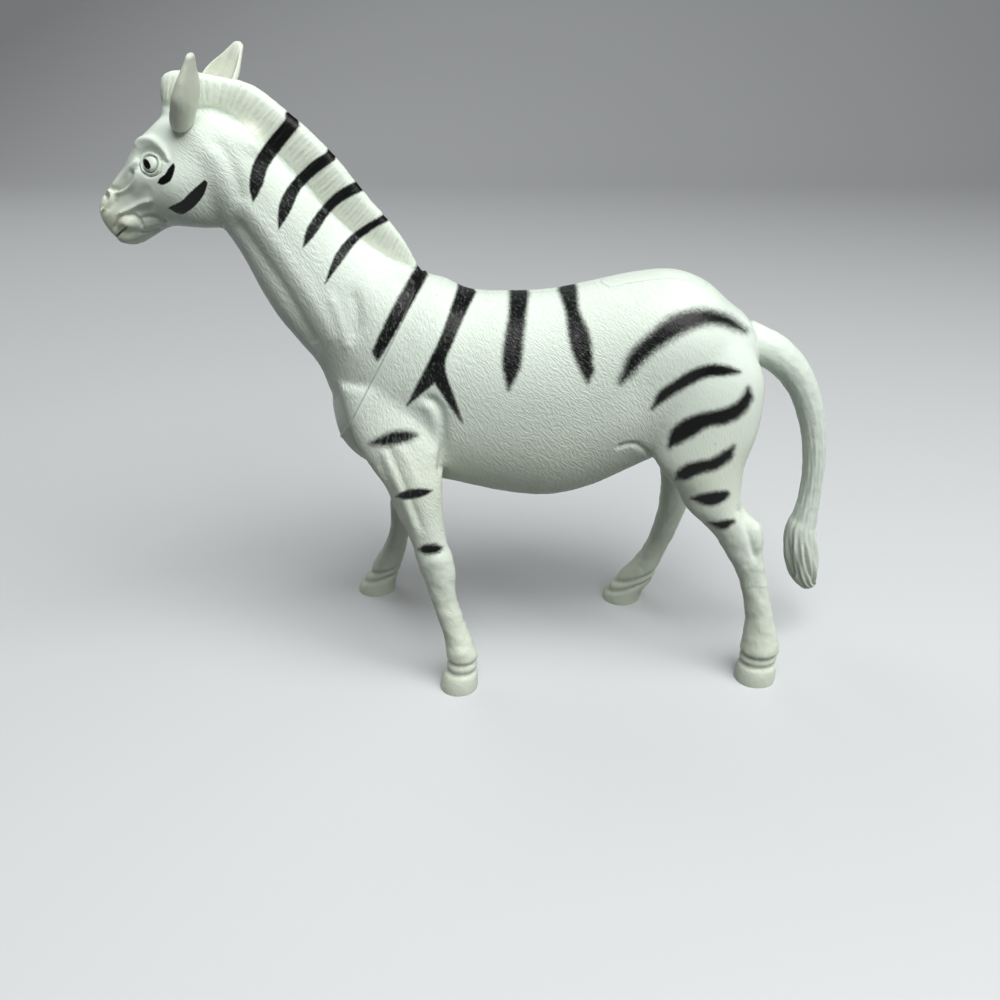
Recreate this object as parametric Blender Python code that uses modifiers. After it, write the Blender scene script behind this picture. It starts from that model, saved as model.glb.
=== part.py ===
"""Toy zebra: a hollow moulded plastic animal figure, standing, about 142 mm long.

The figure is made of seven pieces.  The body and the head with its neck are each two thin
shells that meet on the middle plane.  An oval spigot on the head shells plugs into the neck
of the body shells, and pins inside the left shells locate in bosses of the right ones.  Two
ears and the tail are separate mouldings, each with a root that sits in a socket.

Metres, +Z up.  The head points to -X, the animal's left side to -Y.  The origin is on the
ground below the middle of the whole figure.
"""

import math

import bmesh
import bpy
from mathutils import Vector

# Trunk
TRUNK_LENGTH = 0.0832
TRUNK_DEPTH = 0.0412
TRUNK_WIDTH = 0.0300
CHEST_X = -0.0312
BELLY_HEIGHT = 0.0370

# Neck, from its root inside the shoulders up to the poll
NECK_ROOT_X = -0.0205
NECK_ROOT_HEIGHT = 0.0665
NECK_LENGTH = 0.0454
NECK_DEPTH = 0.0234
NECK_WIDTH = 0.0200
NECK_TILT = math.radians(38.3)

# Head, from the poll to the lips
HEAD_LENGTH = 0.0229
HEAD_DEPTH = 0.0203
HEAD_WIDTH = 0.0166
HEAD_DROP = math.radians(25.3)
POLL_FORWARD = 0.0010

# Mane
MANE_HEIGHT = 0.0048
MANE_THICKNESS = 0.0040
MANE_ROOT = 0.0046

# Ears: their openings face the middle plane, turned towards the front by the angles below.
LEFT_EAR_LENGTH = 0.0139
RIGHT_EAR_LENGTH = 0.0159
EAR_WIDTH = 0.0070
EAR_THICKNESS = 0.0042
EAR_WALL = 0.0011
EAR_SPREAD = math.radians(25.0)
LEFT_EAR_LEAN = math.radians(22.0)
RIGHT_EAR_LEAN = math.radians(32.0)
LEFT_EAR_TURN = math.radians(72.0)
RIGHT_EAR_TURN = math.radians(25.0)

# Face
EYE_RADIUS = 0.0014
EYE_BULGE = 0.0008
BROW_RADIUS = 0.0014
NOSTRIL_LENGTH = 0.0017
NOSTRIL_WIDTH = 0.0008
MOUTH_LENGTH = 0.0046
MOUTH_GAP = 0.0004
MOUTH_TILT = math.radians(36.0)

# Legs
LEG_LENGTH = 0.0370
FORE_LEG_X = -0.0147
HIND_LEG_X = 0.0424
FORE_STANCE = 0.0374
HIND_STANCE = 0.0320
FORE_LEG_DEPTH = 0.0074
FORE_LEG_WIDTH = 0.0072
HIND_LEG_DEPTH = 0.0088
HIND_LEG_WIDTH = 0.0072
GROOVE_DEPTH = 0.0006
GROOVE_WIDTH = 0.0006

# Tail
TAIL_ROOT_X = 0.0490
TAIL_ROOT_HEIGHT = 0.0697
TAIL_DROP = 0.0571
TAIL_REACH = 0.0215
TAIL_THICKNESS = 0.0072

# Shells and fits
WALL = 0.0016
CLEARANCE = 0.0003
SPIGOT_LENGTH = 0.0045
SPIGOT_ROOT = 0.0025
SEAM_FRONT_X = -0.0295
SEAM_FRONT_HEIGHT = 0.0505
SEAM_TILT = math.radians(28.8)
PIN_RADIUS = 0.0012
PIN_LENGTH = 0.0030
BOSS_RADIUS = 0.0028

# Fineness of the surface
RING_POINTS = 24
FORM_VOXEL = 0.0009
FORM_SMOOTHING = 6
FORM_KEPT_SHARE = 0.100
FORM_SMOOTHING_FACTOR = 0.5
BEAD_SEGMENTS = 12
ROD_SEGMENTS = 20
SHARP_ANGLE = math.radians(40.0)

# Trunk stations: place along the trunk, belly and back as shares of the depth above the
# belly line, half width as a share of half the trunk's width.
TRUNK_SHARES = [
    (0.000, 0.41, 0.51, 0.13),
    (0.020, 0.28, 0.66, 0.43),
    (0.062, 0.19, 0.83, 0.67),
    (0.122, 0.13, 0.97, 0.81),
    (0.195, 0.09, 1.06, 0.88),
    (0.261, 0.08, 1.06, 0.91),
    (0.327, 0.05, 1.00, 0.93),
    (0.423, 0.01, 0.99, 0.97),
    (0.519, 0.00, 1.00, 1.00),
    (0.615, 0.05, 1.04, 1.00),
    (0.711, 0.15, 1.08, 1.00),
    (0.796, 0.24, 1.09, 0.98),
    (0.868, 0.31, 1.04, 0.90),
    (0.922, 0.38, 0.95, 0.77),
    (0.970, 0.48, 0.87, 0.55),
    (0.993, 0.57, 0.79, 0.30),
    (1.000, 0.64, 0.73, 0.12),
]

# Neck stations: place along the neck, throat and nape as shares of the neck's depth to
# either side of its axis, half width as a share of half the neck's width.
NECK_SHARES = [
    (-0.13, -0.60, 0.72, 1.20),
    (0.00, -0.58, 0.74, 1.20),
    (0.13, -0.49, 0.69, 1.12),
    (0.26, -0.48, 0.58, 1.02),
    (0.40, -0.47, 0.49, 0.90),
    (0.53, -0.42, 0.44, 0.82),
    (0.66, -0.35, 0.42, 0.78),
    (0.79, -0.31, 0.41, 0.77),
    (0.92, -0.29, 0.385, 0.79),
    (1.03, -0.22, 0.345, 0.73),
]

# Head stations: place along the head, jaw and face as shares of the head's depth to either
# side of its axis, half width as a share of half the head's width.
HEAD_SHARES = [
    (-0.46, -0.24, 0.12, 0.62),
    (-0.24, -0.40, 0.33, 0.80),
    (-0.04, -0.50, 0.48, 0.87),
    (0.15, -0.52, 0.51, 0.95),
    (0.28, -0.47, 0.48, 1.00),
    (0.41, -0.39, 0.44, 0.94),
    (0.52, -0.32, 0.38, 0.83),
    (0.62, -0.31, 0.31, 0.72),
    (0.74, -0.32, 0.26, 0.65),
    (0.85, -0.325, 0.20, 0.60),
    (0.93, -0.295, 0.17, 0.53),
    (0.98, -0.20, 0.12, 0.38),
    (1.00, -0.08, 0.06, 0.18),
]

# Mane stations: place of the skin below it along the neck and across it, as shares of the
# neck's length and depth, the way the hair stands in degrees forward of square to the neck,
# how far it stands up as a share of the mane's height, and half thickness as a share of half
# the mane's thickness.
MANE_SHARES = [
    (0.15, 0.60, 30.0, 0.45, 0.60),
    (0.31, 0.53, 8.0, 1.02, 0.80),
    (0.50, 0.51, 5.0, 1.08, 0.90),
    (0.73, 0.49, 8.0, 1.18, 1.00),
    (0.90, 0.45, 13.0, 1.16, 1.00),
    (1.05, 0.37, 27.0, 1.30, 1.00),
    (1.13, 0.25, 45.0, 1.28, 1.00),
    (1.20, 0.13, 62.0, 1.38, 1.05),
    (1.225, 0.05, 70.0, 1.38, 1.05),
    (1.23, -0.01, 80.0, 0.85, 0.90),
    (1.23, -0.05, 90.0, 0.22, 0.60),
]

# Leg stations, from inside the trunk down past the ground: height and forward place as
# shares of the leg's length, place outwards as a share of half the stance, half depth and
# half width as shares of half the leg's depth and width at the knee or hock.
LEFT_FORE_SHARES = [
    (1.70, -0.17, 0.44, 2.10, 1.10),
    (1.46, -0.09, 0.58, 2.25, 1.35),
    (1.30, -0.04, 0.66, 1.90, 1.40),
    (1.19, 0.00, 0.72, 1.50, 1.30),
    (1.03, 0.03, 0.76, 1.22, 1.15),
    (0.88, 0.07, 0.80, 0.95, 0.97),
    (0.77, 0.10, 0.83, 1.02, 1.00),
    (0.68, 0.12, 0.84, 0.93, 0.94),
    (0.55, 0.14, 0.87, 0.74, 0.77),
    (0.38, 0.19, 0.91, 0.74, 0.75),
    (0.28, 0.22, 0.94, 0.79, 0.80),
    (0.19, 0.24, 0.97, 0.90, 0.92),
    (0.125, 0.235, 0.98, 0.86, 0.90),
    (0.092, 0.23, 0.99, 0.97, 1.02),
    (0.03, 0.22, 1.00, 1.06, 1.12),
    (-0.04, 0.215, 1.00, 1.10, 1.16),
]
RIGHT_FORE_SHARES = [
    (1.70, -0.17, 0.44, 2.10, 1.10),
    (1.46, -0.11, 0.58, 2.20, 1.35),
    (1.30, -0.08, 0.66, 1.85, 1.40),
    (1.19, -0.08, 0.71, 1.50, 1.30),
    (1.03, -0.09, 0.75, 1.22, 1.15),
    (0.84, -0.11, 0.78, 0.97, 0.97),
    (0.70, -0.13, 0.81, 0.97, 1.00),
    (0.59, -0.16, 0.83, 0.68, 0.77),
    (0.47, -0.18, 0.86, 0.66, 0.75),
    (0.36, -0.21, 0.90, 0.71, 0.78),
    (0.26, -0.25, 0.94, 0.88, 0.90),
    (0.18, -0.28, 0.97, 0.95, 0.95),
    (0.135, -0.30, 0.98, 0.94, 0.94),
    (0.10, -0.32, 0.99, 1.06, 1.04),
    (0.03, -0.35, 1.00, 1.18, 1.12),
    (-0.04, -0.36, 1.00, 1.22, 1.16),
]
LEFT_HIND_SHARES = [
    (1.89, -0.06, 0.53, 2.50, 1.40),
    (1.67, -0.04, 0.60, 2.48, 1.58),
    (1.46, -0.04, 0.66, 2.32, 1.60),
    (1.30, -0.05, 0.72, 1.98, 1.50),
    (1.16, 0.00, 0.77, 1.45, 1.30),
    (1.07, 0.03, 0.80, 1.33, 1.18),
    (1.01, 0.08, 0.82, 1.26, 1.08),
    (0.92, 0.17, 0.84, 1.21, 1.00),
    (0.84, 0.20, 0.86, 1.00, 0.92),
    (0.76, 0.23, 0.88, 0.81, 0.84),
    (0.69, 0.26, 0.89, 0.70, 0.78),
    (0.60, 0.29, 0.91, 0.65, 0.72),
    (0.49, 0.32, 0.93, 0.64, 0.72),
    (0.37, 0.345, 0.95, 0.68, 0.78),
    (0.27, 0.36, 0.97, 0.85, 0.90),
    (0.20, 0.365, 0.98, 0.95, 1.00),
    (0.135, 0.36, 0.98, 0.88, 0.95),
    (0.10, 0.36, 0.99, 0.92, 1.05),
    (0.04, 0.355, 1.00, 0.97, 1.12),
    (-0.04, 0.355, 1.00, 1.00, 1.16),
]
RIGHT_HIND_SHARES = [
    (1.89, -0.06, 0.53, 2.50, 1.40),
    (1.67, -0.05, 0.60, 2.46, 1.58),
    (1.46, -0.06, 0.66, 2.28, 1.60),
    (1.30, -0.07, 0.71, 1.85, 1.48),
    (1.16, -0.07, 0.74, 1.36, 1.28),
    (1.03, -0.04, 0.76, 1.09, 1.10),
    (0.92, -0.03, 0.78, 0.93, 1.00),
    (0.84, -0.04, 0.79, 0.80, 0.92),
    (0.70, -0.045, 0.81, 0.72, 0.82),
    (0.53, -0.08, 0.84, 0.66, 0.74),
    (0.40, -0.12, 0.87, 0.62, 0.74),
    (0.29, -0.17, 0.89, 0.70, 0.82),
    (0.21, -0.21, 0.91, 0.88, 0.96),
    (0.15, -0.24, 0.92, 0.98, 1.00),
    (0.11, -0.27, 0.93, 0.98, 1.06),
    (0.04, -0.31, 0.94, 1.00, 1.12),
    (-0.04, -0.325, 0.94, 1.00, 1.16),
]

# Ear stations: place along the ear, half width and half thickness as shares of half the
# ear's width and thickness, and how far the opening is pressed towards the back wall.
EAR_SHARES = [
    (0.00, 0.50, 0.60, 0.0),
    (0.07, 0.72, 0.90, 0.0),
    (0.20, 0.83, 1.00, 0.0),
    (0.38, 0.96, 1.00, 0.7),
    (0.52, 1.00, 0.86, 1.0),
    (0.67, 0.94, 0.66, 1.0),
    (0.78, 0.79, 0.50, 1.0),
    (0.89, 0.58, 0.36, 0.6),
    (0.97, 0.32, 0.24, 0.0),
    (1.00, 0.06, 0.08, 0.0),
]
# Foot of the ears: above the head's axis, ahead of the poll and out from the middle plane, as
# shares of the head's depth, length and width.
EAR_RISE_SHARE = 0.36
EAR_AHEAD_SHARE = 0.0
EAR_OUT_SHARE = 0.32
# Where the opening's rim lies and where it is pressed in fully, as shares of the half thickness.
EAR_RIM_SHARES = (0.50, 0.95)

# Places on the face: ahead of the poll, above the head's axis and out from the middle plane, as
# shares of the head's length, depth and width.
EYE_SHARES = (0.334, 0.220, 0.405)
BROW_SHARES = [
    (0.420, 0.370, 0.120, 0.7),
    (0.350, 0.390, 0.190, 1.0),
    (0.290, 0.380, 0.260, 1.0),
    (0.235, 0.330, 0.330, 0.9),
    (0.205, 0.280, 0.375, 0.7),
    (0.190, 0.235, 0.400, 0.4),
]
NOSTRIL_SHARES = (0.865, 0.135, 0.185)
MOUTH_SHARES = (0.905, -0.150)

# Heights of the two grooves above each hoof, as shares of the leg's length.
GROOVE_SHARES = (0.122, 0.178)

# Tail stations, root to tuft: backward place as a share of the reach, drop as a share of the
# whole drop, half thickness as a share of half the tail's thickness.
TAIL_SHARES = [
    (0.00, 0.000, 0.88),
    (0.12, 0.030, 1.00),
    (0.30, 0.065, 0.98),
    (0.49, 0.130, 0.88),
    (0.64, 0.222, 0.78),
    (0.745, 0.336, 0.69),
    (0.805, 0.459, 0.62),
    (0.82, 0.590, 0.60),
    (0.805, 0.695, 0.72),
    (0.785, 0.748, 0.87),
    (0.81, 0.821, 0.98),
    (0.86, 0.905, 0.93),
    (0.92, 0.965, 0.66),
    (0.975, 0.990, 0.38),
    (1.00, 1.000, 0.16),
]

# Start of the dock that carries the tail, inside the rump: place along the trunk, and height
# above the belly line, as shares of the trunk's length and depth.
DOCK_START_SHARES = (0.90, 0.68)

# Rows of the tail that its socket takes in, rows of the neck that the body's mouth does, and
# rows of each leg that make its foot.
TAIL_SOCKET_ROWS = 5
NECK_MOUTH_ROWS = 5
FOOT_ROWS = 7

# Bosses across the trunk and the head: place along the piece, height as a share of its depth
# above the belly or the axis, and reach as a share of half its width.
TRUNK_BOSS_SHARES = [(0.36, 0.62, 0.86), (0.76, 0.80, 0.86)]
NECK_BOSS_SHARES = [(0.50, 0.02, 0.66)]

# Shape of a station: 2 is an ellipse, more is squarer.
TRUNK_ROUNDNESS = 2.3
LIMB_ROUNDNESS = 2.0

PLASTIC_COLOUR = (0.78, 0.82, 0.78, 1.0)
EAR_COLOUR = (0.80, 0.81, 0.72, 1.0)
PLASTIC_ROUGHNESS = 0.34


def clear_scene():
    for item in list(bpy.data.objects):
        bpy.data.objects.remove(item, do_unlink=True)


def collection(name):
    group = bpy.data.collections.new(name)
    bpy.context.scene.collection.children.link(group)
    return group


def plastic(name, colour):
    material = bpy.data.materials.new(name)
    material.use_nodes = True
    shader = material.node_tree.nodes["Principled BSDF"]
    shader.inputs["Base Color"].default_value = colour
    shader.inputs["Roughness"].default_value = PLASTIC_ROUGHNESS
    shader.inputs["Metallic"].default_value = 0.0
    return material


def signed_power(value, power):
    return math.copysign(abs(value) ** power, value)


def station(centre, up, side, roundness):
    """One closed section round centre: up and side are its two half axes."""
    points = []
    for index in range(RING_POINTS):
        angle = 2.0 * math.pi * index / RING_POINTS
        rise = signed_power(math.cos(angle), 2.0 / roundness)
        spread = signed_power(math.sin(angle), 2.0 / roundness)
        points.append(centre + up * rise + side * spread)
    return points


def loft(bm, stations):
    """Skin a row of stations and close both ends."""
    rings = [[bm.verts.new(point) for point in points] for points in stations]
    faces = []
    for near, far in zip(rings, rings[1:]):
        for index in range(RING_POINTS):
            after = (index + 1) % RING_POINTS
            faces.append(bm.faces.new((near[index], near[after], far[after], far[index])))
    faces.append(bm.faces.new(list(reversed(rings[0]))))
    faces.append(bm.faces.new(rings[-1]))
    bmesh.ops.recalc_face_normals(bm, faces=faces)


def mesh_object(name, bm, group):
    mesh = bpy.data.meshes.new(name)
    bm.to_mesh(mesh)
    bm.free()
    item = bpy.data.objects.new(name, mesh)
    group.objects.link(item)
    return item


def lofted(name, group, *limbs):
    """One object that holds a closed loft for each list of stations."""
    bm = bmesh.new()
    for limb in limbs:
        loft(bm, limb)
    return mesh_object(name, bm, group)


def hide_tool(item):
    item.hide_render = True
    item.display_type = 'WIRE'
    return item


def box_tool(name, centre, size, tilt=0.0):
    """A box, turned about Y by tilt, that cuts its neighbours."""
    bm = bmesh.new()
    bmesh.ops.create_cube(bm, size=1.0)
    bmesh.ops.scale(bm, vec=size, verts=bm.verts)
    item = hide_tool(mesh_object(name, bm, tools))
    item.location = centre
    item.rotation_euler = (0.0, tilt, 0.0)
    return item


def bead(name, centre, size, tilt):
    """An egg-shaped tool, turned about Y by tilt."""
    bm = bmesh.new()
    bmesh.ops.create_uvsphere(bm, u_segments=BEAD_SEGMENTS, v_segments=BEAD_SEGMENTS // 2,
                              radius=1.0)
    bmesh.ops.scale(bm, vec=size, verts=bm.verts)
    item = hide_tool(mesh_object(name, bm, tools))
    item.location = centre
    item.rotation_euler = (0.0, tilt, 0.0)
    return item


def rod(name, group, x, z, radius, start_y, end_y):
    """A round rod across the figure, from start_y to end_y."""
    bm = bmesh.new()
    bmesh.ops.create_cone(bm, cap_ends=True, segments=ROD_SEGMENTS, radius1=radius,
                          radius2=radius, depth=end_y - start_y)
    item = mesh_object(name, bm, group)
    item.location = (x, (start_y + end_y) / 2.0, z)
    item.rotation_euler = (math.pi / 2.0, 0.0, 0.0)
    return item


def boolean(item, operation, tool):
    """Add or take away a closed tool; the skin's small faces need the manifold solver."""
    modifier = item.modifiers.new(operation.lower() + "_" + tool.name, 'BOOLEAN')
    modifier.operation = operation
    modifier.solver = 'MANIFOLD'
    modifier.object = tool


def settle(item):
    """Give the object the mesh that its modifiers make, and take the modifiers off."""
    bpy.context.view_layer.update()
    graph = bpy.context.evaluated_depsgraph_get()
    mesh = bpy.data.meshes.new_from_object(item.evaluated_get(graph))
    item.modifiers.clear()
    item.data = mesh
    return item


def shade(item, material):
    item.data.materials.clear()
    item.data.materials.append(material)
    item.data.shade_smooth()
    item.data.set_sharp_from_angle(angle=SHARP_ANGLE)


def trunk_stations(inset=0.0):
    rows = []
    for along, belly, back, width in TRUNK_SHARES:
        low = BELLY_HEIGHT + belly * TRUNK_DEPTH + inset
        high = BELLY_HEIGHT + back * TRUNK_DEPTH - inset
        half = width * TRUNK_WIDTH / 2.0 - inset
        if high - low < inset * 2.0 or half < inset:
            continue
        centre = Vector((CHEST_X + along * TRUNK_LENGTH, 0.0, (low + high) / 2.0))
        rows.append(station(centre, Vector((0.0, 0.0, (high - low) / 2.0)),
                            Vector((0.0, half, 0.0)), TRUNK_ROUNDNESS))
    return rows


def axis_stations(shares, origin, forward, rise, length, depth, width, inset=0.0):
    """Stations square to a straight axis in the middle plane."""
    rows = []
    for along, low_share, high_share, width_share in shares:
        low = low_share * depth + inset
        high = high_share * depth - inset
        half = width_share * width / 2.0 - inset
        centre = origin + forward * (along * length) + rise * ((low + high) / 2.0)
        rows.append(station(centre, rise * ((high - low) / 2.0), Vector((0.0, half, 0.0)),
                            LIMB_ROUNDNESS))
    return rows


neck_forward = Vector((-math.sin(NECK_TILT), 0.0, math.cos(NECK_TILT)))
neck_rise = Vector((math.cos(NECK_TILT), 0.0, math.sin(NECK_TILT)))
neck_root = Vector((NECK_ROOT_X, 0.0, NECK_ROOT_HEIGHT))
poll = neck_root + neck_forward * NECK_LENGTH - neck_rise * POLL_FORWARD
head_forward = Vector((-math.cos(HEAD_DROP), 0.0, -math.sin(HEAD_DROP)))
head_rise = Vector((-math.sin(HEAD_DROP), 0.0, math.cos(HEAD_DROP)))


def neck_stations(inset=0.0):
    return axis_stations(NECK_SHARES, neck_root, neck_forward, neck_rise, NECK_LENGTH,
                         NECK_DEPTH, NECK_WIDTH, inset)


def head_stations():
    return axis_stations(HEAD_SHARES, poll, head_forward, head_rise, HEAD_LENGTH,
                         HEAD_DEPTH, HEAD_WIDTH)


def mane_stations():
    rows = []
    for along, across, degrees, stand, thick in MANE_SHARES:
        skin = (neck_root + neck_forward * (along * NECK_LENGTH)
                + neck_rise * (across * NECK_DEPTH))
        turn = math.radians(degrees)
        hair = neck_rise * math.cos(turn) + neck_forward * math.sin(turn)
        crest = skin + hair * (stand * MANE_HEIGHT)
        root = skin - hair * MANE_ROOT
        half = Vector((0.0, thick * MANE_THICKNESS / 2.0, 0.0))
        rows.append(station((crest + root) / 2.0, (crest - root) / 2.0, half, LIMB_ROUNDNESS))
    return rows


def leg_stations(shares, root_x, stance, depth, width, side, inset=0.0):
    rows = []
    for height, forward, out, depth_share, width_share in shares:
        centre = Vector((root_x + forward * LEG_LENGTH, side * out * stance / 2.0,
                         height * LEG_LENGTH))
        rows.append(station(centre, Vector((depth_share * depth / 2.0 - inset, 0.0, 0.0)),
                            Vector((0.0, width_share * width / 2.0 - inset, 0.0)),
                            LIMB_ROUNDNESS))
    return rows


def all_legs(rows=0, inset=0.0):
    """Stations of the four legs, or of the last rows of each."""
    fore = (FORE_LEG_X, FORE_STANCE, FORE_LEG_DEPTH, FORE_LEG_WIDTH)
    hind = (HIND_LEG_X, HIND_STANCE, HIND_LEG_DEPTH, HIND_LEG_WIDTH)
    return [leg_stations(LEFT_FORE_SHARES[-rows:], *fore, -1.0, inset),
            leg_stations(RIGHT_FORE_SHARES[-rows:], *fore, 1.0, inset),
            leg_stations(LEFT_HIND_SHARES[-rows:], *hind, -1.0, inset),
            leg_stations(RIGHT_HIND_SHARES[-rows:], *hind, 1.0, inset)]


def on_head(ahead, rise, out, side):
    """A place on the head from its shares of the head's length, depth and width."""
    place = poll + head_forward * (ahead * HEAD_LENGTH) + head_rise * (rise * HEAD_DEPTH)
    place.y = side * out * HEAD_WIDTH
    return place


def ear_stations(side, length, lean, turn, grow=0.0):
    """Ear rows on one side of the head; grow makes the fatter, uncupped tool for its socket."""
    foot = on_head(EAR_AHEAD_SHARE, EAR_RISE_SHARE, EAR_OUT_SHARE, side)
    along = Vector((math.sin(lean), side * math.sin(EAR_SPREAD), math.cos(lean))).normalized()
    opening = Vector((-math.sin(turn), -side * math.cos(turn), 0.0))
    opening = (opening - along * opening.dot(along)).normalized()
    across = along.cross(opening)
    rows = []
    for place, width, thickness, cup in EAR_SHARES:
        centre = foot + along * (place * length)
        half = thickness * EAR_THICKNESS / 2.0 + grow
        row = station(centre, opening * half, across * (width * EAR_WIDTH / 2.0 + grow),
                      LIMB_ROUNDNESS)
        if not grow:
            press = cup * max(2.0 * half - EAR_WALL, 0.0)
            rim, floor = EAR_RIM_SHARES
            faced = [((point - centre).dot(opening) / half - rim) / (floor - rim)
                     for point in row]
            row = [point - opening * (press * min(max(share, 0.0), 1.0))
                   for point, share in zip(row, faced)]
        rows.append(row)
    if grow:
        rows[0] = [point - along * grow for point in rows[0]]
    return rows


def brow_stations(side):
    """The ridge above one eye; each row lies square to the line through its neighbours."""
    centres = [on_head(ahead, rise, out, side) for ahead, rise, out, _ in BROW_SHARES]
    rows = []
    for index, (_, _, _, thick) in enumerate(BROW_SHARES):
        run = centres[min(index + 1, len(centres) - 1)] - centres[max(index - 1, 0)]
        radius = thick * BROW_RADIUS
        up = run.cross(Vector((0.0, 1.0, 0.0))).normalized() * radius
        rows.append(station(centres[index], up, up.cross(run).normalized() * radius,
                            LIMB_ROUNDNESS))
    return rows


def tail_stations(grow=0.0):
    """Tail rows; each row lies square to the line through its neighbours."""
    centres = [Vector((TAIL_ROOT_X + back * TAIL_REACH, 0.0,
                       TAIL_ROOT_HEIGHT - drop * TAIL_DROP)) for back, drop, _ in TAIL_SHARES]
    rows = []
    for index, (_, _, thick) in enumerate(TAIL_SHARES):
        before = centres[max(index - 1, 0)]
        after = centres[min(index + 1, len(centres) - 1)]
        run = (after - before).normalized()
        radius = thick * TAIL_THICKNESS / 2.0 + grow
        up = Vector((-run.z, 0.0, run.x)) * radius
        rows.append(station(centres[index], up, Vector((0.0, radius, 0.0)), LIMB_ROUNDNESS))
    if grow:
        run = (centres[1] - centres[0]).normalized()
        rows[0] = [point - run * grow for point in rows[0]]
    return rows


def dock_stations():
    """The stub that carries the tail's root, out of the trunk's middle."""
    root = tail_stations()[0]
    along, height = DOCK_START_SHARES
    start = Vector((CHEST_X + along * TRUNK_LENGTH, 0.0, BELLY_HEIGHT + height * TRUNK_DEPTH))
    root_centre = Vector((TAIL_ROOT_X, 0.0, TAIL_ROOT_HEIGHT))
    return [[point + start - root_centre for point in root], root]


def whole_form():
    """The figure's outside, all limbs grown together into one smooth skin."""
    form = lofted(
        "figure_form", tools, trunk_stations(), neck_stations(), head_stations(),
        mane_stations(), dock_stations(), *all_legs())
    remesh = form.modifiers.new("grow_together", 'REMESH')
    remesh.mode = 'VOXEL'
    remesh.voxel_size = FORM_VOXEL
    smooth = form.modifiers.new("soften", 'SMOOTH')
    smooth.factor = FORM_SMOOTHING_FACTOR
    smooth.iterations = FORM_SMOOTHING
    thin = form.modifiers.new("fewer_faces", 'DECIMATE')
    thin.ratio = FORM_KEPT_SHARE
    return hide_tool(settle(form))


clear_scene()
tools = collection("tools")
figure = collection("zebra_figure")
white = plastic("white_plastic", PLASTIC_COLOUR)
cream = plastic("cream_plastic", EAR_COLOUR)

form = whole_form()

# Planes that divide the form.
reach = TRUNK_LENGTH + NECK_LENGTH + HEAD_LENGTH + TAIL_REACH
seam_point = Vector((SEAM_FRONT_X, 0.0, SEAM_FRONT_HEIGHT))
seam_normal = Vector((-math.cos(SEAM_TILT), 0.0, math.sin(SEAM_TILT)))
half_gap = CLEARANCE / 2.0


def seam_box(name, offset, ahead):
    """Everything on one side of the neck's seam, from offset along its normal."""
    sign = 1.0 if ahead else -1.0
    centre = seam_point + seam_normal * (offset + sign * reach)
    return box_tool(name, centre, (2.0 * reach, 2.0 * reach, 4.0 * reach), SEAM_TILT)


ground_tool = box_tool("below_ground", (0.0, 0.0, -reach), (4.0 * reach, 4.0 * reach,
                                                            2.0 * reach))
ahead_tool = seam_box("ahead_of_seam", -half_gap, True)
behind_tool = seam_box("behind_seam", half_gap, False)
right_tool = box_tool("right_of_middle", (0.0, reach - half_gap, 0.0),
                      (6.0 * reach, 2.0 * reach, 6.0 * reach))
left_tool = box_tool("left_of_middle", (0.0, -reach + half_gap, 0.0),
                     (6.0 * reach, 2.0 * reach, 6.0 * reach))


def neck_bore(inset, rows):
    """The inside of the neck's first rows; its lower end runs on past the spigot's end."""
    bore = neck_stations(inset)[:rows]
    bore[0] = [point - neck_forward * SPIGOT_LENGTH for point in bore[0]]
    return bore


# Hollows and sockets.
trunk_hollow = hide_tool(lofted("trunk_hollow", tools, trunk_stations(WALL)))
neck_mouth = hide_tool(lofted("neck_mouth", tools, neck_bore(WALL, NECK_MOUTH_ROWS)))
head_hollow = hide_tool(lofted("head_hollow", tools, neck_bore(2.0 * WALL + CLEARANCE, -1)))
tail_socket = hide_tool(lofted("tail_socket", tools, tail_stations(CLEARANCE)[:TAIL_SOCKET_ROWS]))
ears = (("ear_left", (-1.0, LEFT_EAR_LENGTH, LEFT_EAR_LEAN, LEFT_EAR_TURN)),
        ("ear_right", (1.0, RIGHT_EAR_LENGTH, RIGHT_EAR_LEAN, RIGHT_EAR_TURN)))
ear_sockets = [hide_tool(lofted(name + "_socket", tools, ear_stations(*place, CLEARANCE)))
               for name, place in ears]

hoof_cores = hide_tool(lofted("hoof_cores", tools, *all_legs(FOOT_ROWS, GROOVE_DEPTH)))

# Body: both halves together, then divided.
body = bpy.data.objects.new("body_form", form.data.copy())
tools.objects.link(hide_tool(body))
boolean(body, 'DIFFERENCE', ground_tool)
boolean(body, 'DIFFERENCE', ahead_tool)
boolean(body, 'DIFFERENCE', trunk_hollow)
boolean(body, 'DIFFERENCE', neck_mouth)
boolean(body, 'DIFFERENCE', tail_socket)
for index, height in enumerate(GROOVE_SHARES):
    groove = box_tool("groove_" + str(index), (0.0, 0.0, height * LEG_LENGTH),
                      (4.0 * reach, 4.0 * reach, GROOVE_WIDTH))
    boolean(groove, 'DIFFERENCE', hoof_cores)
    settle(groove)
    boolean(body, 'DIFFERENCE', groove)
settle(body)

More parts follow.
